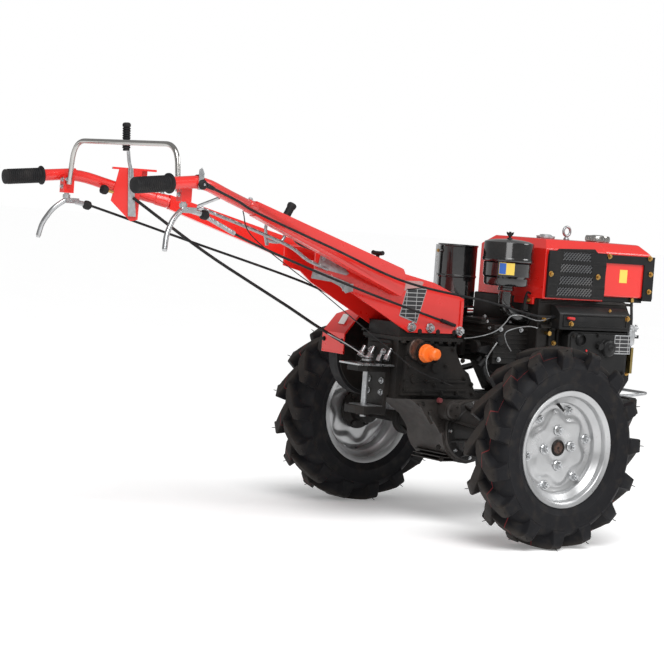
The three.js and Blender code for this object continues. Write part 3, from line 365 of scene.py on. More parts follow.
def make_finishes(f):
    """All materials, named for what they cover."""
    FINISH.update({
        "red": painted("red_paint", f.red, 0.30, 0.6),
        "black": painted("black_paint", toward(f.black, (0.013, 0.013, 0.013), 0.5), 0.42, 0.03, peel=0.2,
                         dust=0.03, specular=0.2),
        "tin": painted("gloss_black_tin", f.black, 0.13, 0.7, peel=0.03, drift=0.7, dust=0.04),
        "cast": cast_iron("cast_black", toward(f.black, (0.012, 0.011, 0.010), 0.5)),
        "shield": painted("brown_black_shield", (0.022, 0.018, 0.016, 1), 0.5, 0.0, peel=0.3, dust=0.12),
        "zinc": bare_metal("zinc_plate", (0.56, 0.57, 0.58, 1), 0.28, spangle=0.35),
        "galvanised": bare_metal("galvanised_steel", (0.46, 0.47, 0.48, 1), 0.36, spangle=0.5, metallic=0.9),
        "brass": bare_metal("brass_bolts", (0.58, 0.36, 0.11, 1), 0.32, spangle=0.2),
        "olive": bare_metal("olive_brass", (0.30, 0.23, 0.09, 1), 0.42, spangle=0.2),
        "chrome": bare_metal("chrome", (0.50, 0.49, 0.47, 1), 0.14, grain=700),
        "alloy": bare_metal("cast_alloy", (0.52, 0.53, 0.54, 1), 0.42, spangle=0.3, metallic=0.85),
        "rubber": moulded("black_rubber", (0.010, 0.010, 0.011, 1), 0.62, specular=0.22),
        "tyre": tyre_rubber("tyre_rubber", f.rubber),
        "rim": rim_silver("silver_rim", f.silver),
        "axle": oiled_axle("oiled_axle_end"),
        "cap": moulded("orange_plastic", f.cap, 0.34, grain=500, depth=0.06, dust=0.05, specular=0.5),
        "red_plug": moulded("red_plastic", (0.55, 0.02, 0.02, 1), 0.4, grain=500, depth=0.08, dust=0.1),
        "dark_plug": moulded("dark_red_plastic", (0.16, 0.03, 0.035, 1), 0.5, grain=500, depth=0.08,
                             dust=0.3),
        "strand": painted("grille_strand_grey", (0.060, 0.062, 0.066, 1), 0.5, 0.0, peel=0.1, dust=0.3),
        "plate": blank_plate("blank_plate", (0.035, 0.035, 0.037, 1), (0.42, 0.42, 0.42, 1), 0.012),
        "label": moulded("blank_label", (0.75, 0.75, 0.73, 1), 0.45, grain=250, depth=0.05, dust=0.2),
        "faded": moulded("faded_label", (0.44, 0.25, 0.24, 1), 0.5, grain=250, depth=0.05, dust=0.3),
        "yellow": moulded("blank_yellow_label", (0.80, 0.58, 0.10, 1), 0.42, grain=250, depth=0.05, dust=0.1),
        "blue": moulded("blank_blue_label", (0.03, 0.12, 0.45, 1), 0.42, grain=250, depth=0.05, dust=0.1),
        "floor": studio_floor("studio_floor", f.floor),
    })


# ------------------------------------------------------------------ shapes, in millimetres
def block(bm, x0, x1, y0, y1, z0, z1, turn=None):
    """A box between two corners, turned about its middle if asked."""
    place = Matrix.Translation(((x0 + x1) / 2, (y0 + y1) / 2, (z0 + z1) / 2))
    if turn:
        place = place @ turn
    size = Matrix.Diagonal((abs(x1 - x0), abs(y1 - y0), abs(z1 - z0), 1))
    return bmesh.ops.create_cube(bm, size=1, matrix=place @ size)["verts"]


def drum(bm, base, top, r, r_top=None, sides=24):
    """A round bar or cone from base to top."""
    base, top = Vector(base), Vector(top)
    run = top - base
    place = Matrix.Translation((base + top) / 2) @ run.to_track_quat("Z", "Y").to_matrix().to_4x4()
    return bmesh.ops.create_cone(
        bm, cap_ends=True, cap_tris=False, segments=sides, radius1=r, radius2=r if r_top is None else r_top,
        depth=run.length, matrix=place)["verts"]


def lathe(bm, profile, centre, axis, steps=48):
    """A (radius, height) profile spun round an axis through the centre."""
    axis = Vector(axis).normalized()
    side = axis.orthogonal().normalized()
    centre = Vector(centre)
    verts = [bm.verts.new(centre + axis * h + side * r) for r, h in profile]
    edges = [bm.edges.new(pair) for pair in zip(verts, verts[1:])]
    made = bmesh.ops.spin(bm, geom=verts + edges, cent=centre, axis=axis, dvec=(0, 0, 0),
                          angle=math.tau, steps=steps, use_merge=True)
    return made


PLANES = {"X": lambda a, b, c: (c, a, b), "Y": lambda a, b, c: (a, c, b), "Z": lambda a, b, c: (a, b, c)}


def verts_of(made):
    """The vertices of what an operator made."""
    return [v for v in made["geom"] if isinstance(v, bmesh.types.BMVert)]


def prism(bm, outline, axis, low, high):
    """A flat outline pulled along X, Y or Z. The outline's two numbers are the other axes in order."""
    put = PLANES[axis]
    face = bm.faces.new([bm.verts.new(put(a, b, low)) for a, b in outline])
    verts = verts_of(bmesh.ops.extrude_face_region(bm, geom=[face]))
    bmesh.ops.translate(bm, verts=verts, vec=put(0, 0, high - low))
    return verts


def rounded(points, bend, steps=6):
    """Straight runs with rounded corners."""
    pts = [Vector(p) for p in points]
    path = [pts[0]]
    for a, b, c in zip(pts, pts[1:], pts[2:]):
        cut = min(bend, (b - a).length * 0.45, (c - b).length * 0.45)
        enter, leave = b + (a - b).normalized() * cut, b + (c - b).normalized() * cut
        for i in range(steps + 1):
            t = i / steps
            path.append(enter * (1 - t) ** 2 + b * 2 * t * (1 - t) + leave * t * t)
    return path + [pts[-1]]


def flowing(points, steps=8):
    """A smooth curve through the points."""
    p = [Vector(q) for q in points]
    p = [p[0] * 2 - p[1], *p, p[-1] * 2 - p[-2]]
    path = []
    for a, b, c, d in zip(p, p[1:], p[2:], p[3:]):
        for i in range(steps):
            t = i / steps
            path.append(0.5 * (b * 2 + (c - a) * t + (a * 2 - b * 5 + c * 4 - d) * t * t
                               + (b * 3 - a - c * 3 + d) * t ** 3))
    return path + [p[-2]]


def tube(bm, path, r, resolution=3, closed=False):
    """A round tube along a path."""
    curve = bpy.data.curves.new("tube", "CURVE")
    curve.dimensions = "3D"
    curve.bevel_depth = r
    curve.bevel_resolution = resolution
    curve.use_fill_caps = not closed
    spline = curve.splines.new("POLY")
    spline.points.add(len(path) - 1)
    for point, at in zip(spline.points, path):
        point.co = (*at, 1)
    spline.use_cyclic_u = closed
    holder = bpy.data.objects.new("tube", curve)
    mesh = bpy.data.meshes.new_from_object(holder)
    bm.from_mesh(mesh)
    bpy.data.objects.remove(holder)
    bpy.data.curves.remove(curve)
    bpy.data.meshes.remove(mesh)


def coil(bm, path, r, wire, turns, resolution=1):
    """A wire wound round a path."""
    total = sum((b - a).length for a, b in zip(path, path[1:]))
    winding, gone = [], 0.0
    for a, b in zip(path, path[1:]):
        run = b - a
        side = run.orthogonal().normalized()
        up = run.normalized().cross(side)
        count = max(2, int(turns * 8 * run.length / total))
        for i in range(count):
            at = gone + run.length * i / count
            angle = math.tau * turns * at / total
            winding.append(a + run * (i / count) + (side * math.cos(angle) + up * math.sin(angle)) * r)
        gone += run.length
    tube(bm, winding, wire, resolution)


def bolt(bm, at, out, size, washer=True, sides=6):
    """A hexagon head on a washer, with the end of its stud."""
    at, out = Vector(at), Vector(out).normalized()
    foot = at
    if washer:
        drum(bm, at, at + out * size * 0.22, size * 1.25, sides=20)
        foot = at + out * size * 0.2
    drum(bm, foot, foot + out * size * 0.75, size * 0.95, size * 0.9, sides=sides)
    drum(bm, foot + out * size * 0.7, foot + out * size * 1.1, size * 0.45, size * 0.38, sides=12)


def bolts(bm, spots, y, size):
    """Bolts at (x, z) spots on a face that looks to the right."""
    for x, z in spots:
        bolt(bm, (x, y, z), -Y, size)


def ring_of(count, radius, start=0.0):
    """Evenly spaced places on a circle: two offsets from its centre, and the angle."""
    for i in range(count):
        a = start + math.tau * i / count
        yield math.cos(a) * radius, math.sin(a) * radius, a


def joined(bm, part):
    """Adds a finished bmesh to another and frees it."""
    mesh = bpy.data.meshes.new("part")
    part.to_mesh(mesh)
    part.free()
    bm.from_mesh(mesh)
    bpy.data.meshes.remove(mesh)


def shell_of(bm, node):
    """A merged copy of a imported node's own mesh."""
    part = bmesh.new()
    part.from_mesh(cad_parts[node].data)
    part.transform(TO_MM)
    bmesh.ops.remove_doubles(part, verts=part.verts, dist=0.02)
    bmesh.ops.dissolve_limit(part, angle_limit=math.radians(0.6), verts=part.verts, edges=part.edges)
    joined(bm, part)


def span(node):
    """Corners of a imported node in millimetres."""
    low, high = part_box(node)
    return TO_MM @ low, TO_MM @ high


def middle_of(node):
    """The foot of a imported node's upright middle line."""
    low, high = span(node)
    return (low.x + high.x) / 2, (low.y + high.y) / 2, 0


def finished(bm, name, finish, body="chassis", nodes=(), bevel=0.0, segments=2, angle=32):
    """Moves a shape to the frame, gives it its finish and lets it ride on its body."""
    bmesh.ops.remove_doubles(bm, verts=bm.verts, dist=0.01)
    bmesh.ops.recalc_face_normals(bm, faces=bm.faces)
    bm.transform(TO_ROW)
    mesh = bpy.data.meshes.new(name)
    bm.to_mesh(mesh)
    bm.free()
    mesh.materials.append(FINISH[finish])
    mesh.shade_smooth()
    mesh.set_sharp_from_angle(angle=math.radians(angle))
    piece = bpy.data.objects.new(name, mesh)
    bpy.context.scene.collection.objects.link(piece)
    if bevel:
        edge = piece.modifiers.new("edges", "BEVEL")
        edge.width = bevel * MM
        edge.segments = segments
        edge.limit_method = "ANGLE"
        edge.angle_limit = math.radians(38)
        edge.harden_normals = True
    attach(piece, body)
    if nodes:
        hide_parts(*nodes)
    return piece


def dressed(node, finish, bevel=1.5, body="chassis", extra=None, angle=32):
    """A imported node's shape with rounded edges and whatever extra() adds to it."""
    bm = bmesh.new()
    shell_of(bm, node)
    if extra:
        extra(bm)
    return finished(bm, node + "_skin", finish, body, [node], bevel, angle=angle)


# ------------------------------------------------------------------ wheels
CARCASS = [  # (radius, distance from the tyre's middle plane), outer half, bead to crown
    (153, 52), (160, 54), (167, 54.5), (172, 58), (184, 62), (187, 64.5), (190, 63.5), (204, 66), (222, 66.5),
    (226, 68.5), (230, 66.5), (236, 63), (242, 57), (250, 46), (256, 30), (259, 12), (259.5, 0),
]


def carcass_radius(y):
    """Radius of the tread side of the carcass at a distance from its middle plane."""
    side = sorted((h, r) for r, h in CARCASS if r >= 204)
    y = abs(y)
    for (h0, r0), (h1, r1) in zip(side, side[1:]):
        if h0 <= y <= h1 and h1 > h0:
            return r0 + (r1 - r0) * (y - h0) / (h1 - h0)
    return side[-1][1]


def lug(bm, hub, turn, out, sizes):
    """One lug: a bar from the crown to the shoulder that ends in a foot on the side wall."""
    crown_r = CARCASS[-1][0] + mm(sizes.lug_height)
    shoulder_r, foot_r = 262.0, 234.0
    reach, step_in, widest = 85.0, -13.0, 70.5
    bar = bmesh.new()
    bmesh.ops.create_cube(bar, size=1)
    along = [e for e in bar.edges if abs(e.verts[0].co.x - e.verts[1].co.x) > 0.5]
    bmesh.ops.subdivide_edges(bar, edges=along, cuts=9, use_grid_fill=True)
    for v in bar.verts:
        s = v.co.x + 0.5
        across, up = v.co.y * 2, v.co.z + 0.5
        y = min(step_in + s * reach, widest)
        under = carcass_radius(y) - 5
        crown = crown_r - max(0, s - 0.66) ** 1.6 * 60 - max(0, 0.12 - s) * 40
        if s > 0.95:
            crown, under = shoulder_r, foot_r
        radius = under + (crown - under) * up
        head = 0.55 if s < 0.02 else 0.85 if s < 0.13 else 1.0
        wide = mm(sizes.lug_width) * head * (1.0 - 0.26 * s) * (1.0 - 0.24 * up) / 2
        trail = sizes.lug_sweep * min(1.0, s / 0.72) ** 0.95
        a = turn + trail + across * wide / radius
        v.co = hub + Vector((math.cos(a) * radius, out * y, math.sin(a) * radius))
    joined(bm, bar)


def tyres(sizes):
    """Both tyres with their lugs, side-wall rings and moulding hairs."""
    flip = [(r, -h) for r, h in reversed(CARCASS[:-1])]
    first = math.radians(9)
    for side, s in SIDES:
        hub = Vector((0, s * WHEEL_Y, AXLE_Z))
        bm = bmesh.new()
        inner = [(r - 12, h * 0.78) for r, h in (CARCASS[i] for i in (0, 6, 8, 11, -1))]
        inner[0] = (153, 40)
        back = [(r, -h) for r, h in inner[:-1]]
        lathe(bm, CARCASS + flip + back + list(reversed(inner)) + [CARCASS[0]], hub, Y, 96)
        for i in range(sizes.lugs):
            a = math.tau * i / sizes.lugs
            lug(bm, hub, a + first, s, sizes)
            lug(bm, hub, a + first + math.pi / sizes.lugs, -s, sizes)
        finished(bm, f"tyre_{side}_rubber", "tyre", f"wheel_{side}", [f"tyre_{side}"], bevel=2.2,
                 segments=2)
        bm = bmesh.new()
        for i in range(sizes.lugs):
            for k, half in ((0, s), (1, -s)):
                a = math.tau * (i + k / 2) / sizes.lugs + first + sizes.lug_sweep
                for shift, radius in ((-0.055, 262), (0.055, 262), (0.0, 280)):
                    c, d = math.cos(a + shift), math.sin(a + shift)
                    foot = hub + Vector((c * radius, half * 62, d * radius))
                    reach = min(radius + mm(sizes.vent_hair), 284.5)
                    tip = hub + Vector((c * reach, half * 71.5, d * reach))
                    drum(bm, foot, tip, 1.5, 0.9, sides=5)
        finished(bm, f"tyre_{side}_hairs", "rubber", f"wheel_{side}")


def falling(value, middle, softness):
    """From 1 to 0 as a value passes the middle, over a soft step."""
    return 1 / (1 + math.exp((value - middle) / softness))


def rims(sizes):
    """Both rims: the stepped well, the pressed disc, its bolts and the valve."""
    first_bolt = math.radians(72)
    disc_y = 10
    for side, s in SIDES:
        body = f"wheel_{side}"
        hub = Vector((0, s * WHEEL_Y, AXLE_Z))
        out = Vector((0, s, 0))
        bm = bmesh.new()
        lathe(bm, [
            (166, 57), (165, 58), (160, 56.5), (152, 55), (149.5, 52), (148, 40), (146, 36), (131, 30),
            (128.5, 26),
            (128, 0), (128, -22), (131, -26), (147, -34), (148, -52), (158, -56), (165, -57), (165, -53),
            (153, -52),
            (152, -36), (133, -26), (132, -22), (132, 25), (134, 27), (152, 35), (152, 51), (160, 53.5),
            (166, 54), (166, 57),
        ], hub, out, 96)
        lathe(bm, [(134.5, 12), (129, 13), (129, 10), (134.5, 9), (134.5, 12)], hub, out, 96)
        finished(bm, f"rim_{side}_well", "rim", body, [f"rim_{side}"], angle=50)
        bm = bmesh.new()
        radii = [23.9, 30, 38, 46, 54, 62, 68, 72, 76, 80, 84,
                 88, 92, 96, 100, 105, 110, 116, 122, 126, 128.4]
        lathe(bm, [(r, 0) for r in radii], hub, out, 96)
        for v in bm.verts:
            off = v.co - hub
            radius = math.hypot(off.x, off.z)
            a = math.atan2(off.z, off.x)
            edge = 95 + 11 * math.cos(6 * (a - first_bolt) + math.pi)
            rise = falling(radius, edge, 2.6)
            lip = falling(radius, 120, 1.8)
            dish = 7.5 * rise + 4.5 * (1 - lip) * 1.2
            sink = 2.5 * math.exp(-((radius - 34) / 9) ** 2)
            v.co = v.co + out * (disc_y + dish - sink)
        back = verts_of(bmesh.ops.extrude_face_region(bm, geom=list(bm.faces)))
        bmesh.ops.translate(bm, verts=back, vec=-out * 4)
        finished(bm, f"rim_{side}_disc", "rim", body, angle=60)
        bm = bmesh.new()
        for x, z, _ in ring_of(6, mm(sizes.bolt_circle), first_bolt):
            at = hub + Vector((x, 0, z)) + out * disc_y
            drum(bm, at, at + out * 4, 15, 12, sides=20)
            bolt(bm, at + out * 3.5, out, 10.5)
            drum(bm, at + out * 9, at + out * 19, 5.6, 5.0, sides=12)
        for x, z, _ in ring_of(4, mm(sizes.nut_circle), math.radians(94)):
            at = hub + Vector((x, 0, z)) + out * 18.5
            drum(bm, at, at + out * 3, 16, 13, sides=20)
            bolt(bm, at + out * 3, out, 11.5)
            drum(bm, at + out * 9, at + out * 18, 6.0, 5.4, sides=12)
        finished(bm, f"rim_{side}_bolts", "zinc", body, bevel=0.5)
        bm = bmesh.new()
        valve_turn, valve_r = math.radians(95), 132
        valve = hub + Vector((math.cos(valve_turn) * valve_r, 0, math.sin(valve_turn) * valve_r))
        drum(bm, valve + out * 4, valve + out * 30 - Z * 16, 5.5, 4, sides=14)
        drum(bm, valve + out * 28 - Z * 14.8, valve + out * 42 - Z * 24, 3.6, 3.2, sides=12)
        finished(bm, f"rim_{side}_valve", "rubber", body, bevel=0.4)


def hubs(sizes):
    """Both hubs with the ends of the axle."""
    for side, s in SIDES:
        body = f"wheel_{side}"
        hub = Vector((0, s * WHEEL_Y, AXLE_Z))
        out = Vector((0, s, 0))

        def boss(bm):
            geom = bm.verts[:] + bm.edges[:] + bm.faces[:]
            bmesh.ops.bisect_plane(bm, geom=geom, plane_co=hub + out * 19, plane_no=out, clear_outer=True)
            bmesh.ops.holes_fill(bm, edges=[e for e in bm.edges if e.is_boundary], sides=0)
            for x, z, _ in ring_of(6, 50, math.radians(64)):
                drum(bm, hub + Vector((x, 0, z)) - out * 18, hub + Vector((x, 0, z)) - out * 6, 9, sides=6)
            lathe(bm, [(17.5, 14), (23, 14), (23, 19), (22, 22), (20, 23), (18.2, 22.5), (17.5, 20),
                       (17.5, 14)], hub, out, 40)

        dressed(f"hub_{side}", "cast", 1.0, body, boss)
        bm = bmesh.new()
        lathe(bm, [(0, 17), (3, 17), (4.5, 20.6), (12, 21.2), (16.6, 20.2), (17.4, 18), (17.4, 14), (0, 14),
                   (0, 17)], hub, out, 32)
        for x, z, _ in ring_of(4, 12, 0.5):
            drum(bm, hub + Vector((x, 0, z)) + out * 19, hub + Vector((x, 0, z)) + out * 22.6, 2.4, sides=6)
        finished(bm, f"hub_{side}_axle_end", "axle", body, bevel=0.4)


# ------------------------------------------------------------------ transmission
SHAFT_X, SHAFT_Z = -200, 512  # side shaft of the gearbox
HITCH_PIN_X = -332.3


def gearbox(sizes):
    """The upper case with its cover, ribs, bolts, selector studs and plugs."""
    seal_x, seal_z = -225, 522

    def ribs(bm):
        for x in (-250, -212, -96, -70):
            prism(bm, [(x - 3, 392), (x + 3, 392), (x + 3, 540), (x - 3, 540)], "Y", -81, -70)
        for z, reach in ((404, 12), (430, 6)):
            block(bm, -262, -30 + reach, -93, -86, z - 3, z + 3)
        prism(bm, [(-262, 398), (-120, 398), (-104, 420), (-120, 500), (-150, 522), (-262, 500)], "Y", -92,
              -84)
        drum(bm, (-150, -86, 470), (-150, -96, 470), 18, 15, sides=28)
        drum(bm, (-228, -86, 436), (-228, -95, 436), 14, 12, sides=24)
        drum(bm, (seal_x, -86, seal_z), (seal_x, -97, seal_z), 33, 31, sides=36)
        block(bm, -290, -40, 78, 92, 560, 566)
        for y in (-84, 84):
            for x in range(-270, -60, 34):
                drum(bm, (x, y, 540), (x, y, 549), 8, sides=16)

    dressed("gearbox_housing", "cast", 3.0, extra=ribs)
    bm = bmesh.new()
    bolts(bm, ((-252, 404), (-250, 470), (-246, 524), (-190, 398), (-120, 396), (-60, 396), (-34, 440),
               (-46, 492),
                 (-84, 524), (-150, 530)), -88, 6.5)
    bolts(bm, ((-190, 476), (-112, 476), (-150, 418), (-150, 490), (-182, 430), (-118, 430)), -94, 5)
    for dx, dz, _ in ring_of(6, 27):
        drum(bm, (SHAFT_X + dx, -101, SHAFT_Z + dz), (SHAFT_X + dx, -105, SHAFT_Z + dz), 3.4, sides=6)
    bolts(bm, ((8, 420), (14, 392), (60, 384)), -72, 6)
    finished(bm, "gearbox_bolts", "cast", bevel=0.5)
    bm = bmesh.new()
    for x, y, low in ((-320, 30, 489), (-302, 10, 484), (-289, -20, 478), (-286, -50, 484)):
        foot = Vector((x - 17, y, low))
        tip = Vector((x, y, 519))
        drum(bm, foot, tip, 5.5, sides=14)
        drum(bm, foot, foot + (tip - foot) * 0.4, 10, sides=6)
    prism(bm, [(-398, -50), (-296, -64), (-279, -64), (-279, 46), (-398, 46)], "Z", 468, 473)
    finished(bm, "gearbox_studs", "zinc", bevel=0.5)
    bm = bmesh.new()
    drum(bm, (-124, -86, 374), (-124, -98, 374), 8, 7, sides=20)
    finished(bm, "gearbox_plug", "dark_plug", bevel=1)
    bm = bmesh.new()
    lathe(bm, [(0, -97.6), (19, -97.6), (22, -98.6), (29, -98.4), (31.5, -96)], (seal_x, 0, seal_z), Y, 36)
    finished(bm, "gearbox_seal", "axle")


def shaft_cap(sizes):
    """The orange cap over the side shaft, with its nose."""
    bm = bmesh.new()
    face = span("pto_cap")[1].y
    lathe(bm, [(0, face), (26, face), (27, face - 3), (26, face - 6), (24.6, face - 8), (24.4, face - 17),
               (22, face - 21),
               (0, face - 22)], (SHAFT_X, 0, SHAFT_Z), Y, 40)
    lathe(bm, [(0, face - 18), (18, face - 18), (17.5, face - 32), (16, face - 40), (11, face - 44),
               (0, face - 45)],
          (SHAFT_X + 10, 0, SHAFT_Z), Y, 36)
    for dx, dz in ((-16, 17), (-22, -8), (2, 23)):
        x, z = SHAFT_X + dx, SHAFT_Z + dz
        drum(bm, (x, face - 6, z), (x, face - 15, z), 4, 3, sides=10)
    finished(bm, "pto_cap_moulding", "cap", nodes=["pto_cap"], bevel=0.8)


def final_drive(sizes):
    """The lower case with its ribs, flange bolts and round cover."""
    y = -84
    plug_x, plug_z = -98, 348

    def ribs(bm):
        for x, z in ((-200, 366), (-160, 340), (-118, 300)):
            prism(bm, [(x, z), (x + 10, z + 2), (x + 60, z - 60), (x + 50, z - 64)], "Y", y - 5, y + 2)
        drum(bm, (0, y + 2, AXLE_Z), (0, y - 8, AXLE_Z), 92, 88, sides=56)
        drum(bm, (60, y + 2, 344), (60, y - 14, 344), 24, 21, sides=28)
        drum(bm, (plug_x, -124, plug_z), (plug_x, -132, plug_z), 25, 22, sides=32)
        for k, z in enumerate(range(192, 214, 10)):
            block(bm, -92 + 6 * k, 60 - 6 * k, -80, 60, z, z + 3)

    dressed("final_drive_case", "shield", 2.5, extra=ribs)
    bm = bmesh.new()
    for x, z, _ in ring_of(9, 80, 0.2):
        if z > -62:
            bolt(bm, (x, -92, AXLE_Z + z), -Y, 6)
    bolts(bm, ((-182, 362), (-110, 236), (-96, 200), (92, 362), (96, 320)), y, 6.5)
    for x, z, _ in ring_of(3, 14, 0.9):
        drum(bm, (plug_x + x, -131, plug_z + z), (plug_x + x, -135, plug_z + z), 3.5, sides=6)
    finished(bm, "final_drive_bolts", "cast", bevel=0.5)


def axle_housings(sizes):
    """Both axle tubes with ribs, flange bolts and an oil seal."""
    for side, s in SIDES:
        def ribs(bm):
            for _, _, a in ring_of(8, 1, 0.4):
                c, d = math.cos(a), math.sin(a)
                pts = [(s * 98, 66), (s * 98, 84), (s * 190, 44), (s * 190, 38)]
                bar = [bm.verts.new((c * r, y, AXLE_Z + d * r)) for y, r in pts]
                face = bm.faces.new(bar)
                moved = verts_of(bmesh.ops.extrude_face_region(bm, geom=[face]))
                bmesh.ops.translate(bm, verts=moved, vec=Vector((-d, 0, c)) * 6)
                bmesh.ops.translate(bm, verts=bar + moved, vec=Vector((d, 0, -c)) * 3)
            lathe(bm, [(19.6, s * 221.5), (30, s * 221.5), (34, s * 224), (46, s * 224), (46, s * 212),
                       (19.6, s * 212)], (0, 0, AXLE_Z), Y, 40)

        dressed(f"axle_housing_{side}", "cast", 1.5, extra=ribs)
        bm = bmesh.new()
        for x, z, _ in ring_of(8, 79):
            bolt(bm, (x, s * 98, AXLE_Z + z), (0, s, 0), 6)
        for x, z, _ in ring_of(6, 40, 0.2):
            bolt(bm, (x, s * 221, AXLE_Z + z), (0, s, 0), 4, washer=False)
        finished(bm, f"axle_housing_{side}_bolts", "zinc" if s < 0 else "cast", bevel=0.4)


def hitch(sizes):
    """The two-jawed bracket, its bolts and the drawbar pin."""
    def eyes(bm):
        for z0, z1 in ((472, 478), (322, 328)):
            lathe(bm, [(10.2, z0), (20, z0), (20, z1), (10.2, z1), (10.2, z0)], (HITCH_PIN_X, 0, 0), Z, 28)

    dressed("hitch_bracket", "cast", 2.5, extra=eyes)
    bm = bmesh.new()
    for y in (-30, 30):
        for z in (390, 424, 508):
            bolt(bm, (-296.5, y, z), -X, 7.5)
    finished(bm, "hitch_bolts", "zinc", bevel=0.5)
    bm = bmesh.new()
    # Bare metal over the lower jaw's top face, lighter than the black casting around it.
    prism(bm, [(-352, -43), (-362, -32), (-362, 32), (-352, 43), (-298, 43), (-298, -43)], "Z", 349, 351.4)
    finished(bm, "hitch_silver_top", "galvanised", bevel=0.4)

    def ring(bm):
        tube(bm, [(HITCH_PIN_X + dx, dy, 490) for dx, dy, _ in ring_of(24, 17)], 2.2, closed=True)
        drum(bm, (HITCH_PIN_X, -16, 330), (HITCH_PIN_X, 16, 330), 2.4, sides=10)

    dressed("hitch_pin", "galvanised", 1.0, extra=ring)


# ------------------------------------------------------------------ engine frame and front end
def engine_frame(sizes):
    """The rails, the bumper block and the front loop."""
    dressed("engine_frame", "black", 1.5)
    bm = bmesh.new()
    for s in (RIGHT, LEFT):
        for x in (150, 260, 420, 540):
            bolt(bm, (x, s * 140, 357), (0, s, 0), 7)
            drum(bm, (x, s * 116, 385), (x, s * 116, 392), 10, sides=6)
    finished(bm, "engine_frame_bolts", "cast", bevel=0.5)

    def face(bm):
        x = span("front_bumper")[1].x
        for y in (-80, 80):
            drum(bm, (x - 1, y, 357), (x + 5, y, 357), 16, 13, sides=24)
        block(bm, x - 40, x - 6, -112, 112, 383, 389)

    dressed("front_bumper", "cast", 4.0, extra=face)
    low, high = span("front_loop")
    rear, front, y, r = low.x, high.x - 5, -low.y - 5, 5
    bm = bmesh.new()
    z = low.z + 5
    tube(bm, rounded([(rear, -y, z), (front - 82, -y, z), (front, -y, z + 8), (front, y, z + 8),
                      (front - 82, y, z), (rear, y, z)], 16), r, 4)
    finished(bm, "front_loop_rod", "galvanised", nodes=["front_loop"])


def front_stand(sizes):
    """The parking stand: a bent tube hoop with a foot plate and pivot bosses."""
    high = span("front_stand")[1]
    pivot = Vector((542, 0, 304))
    bm = bmesh.new()
    x, half = high.x - 22, 116
    tube(bm, rounded([(pivot.x, -half, pivot.z), (x, -half, 13), (x, half, 13), (pivot.x, half, pivot.z)],
                     50), 13, 5)
    prism(bm, [(x - 22, -70), (x + 22, -70), (x + 22, 70), (x - 22, 70)], "Z", 0, 6)
    for y in (-40, 40):
        prism(bm, [(x - 18, 5), (x + 18, 5), (x + 6, 22), (x - 6, 22)], "Y", y - 3, y + 3)
    for s in (RIGHT, LEFT):
        drum(bm, (pivot.x, s * 103, pivot.z), (pivot.x, s * 129, pivot.z), 14, sides=24)
        drum(bm, (pivot.x, s * 103, pivot.z), (pivot.x, s * 144, pivot.z), 8, sides=20)
    tube(bm, [(pivot.x + 12, -116, 190), (pivot.x + 12, 116, 190)], 8, 3)
    finished(bm, "front_stand_hoop", "black", "front_stand_body", ["front_stand"], bevel=1.2)


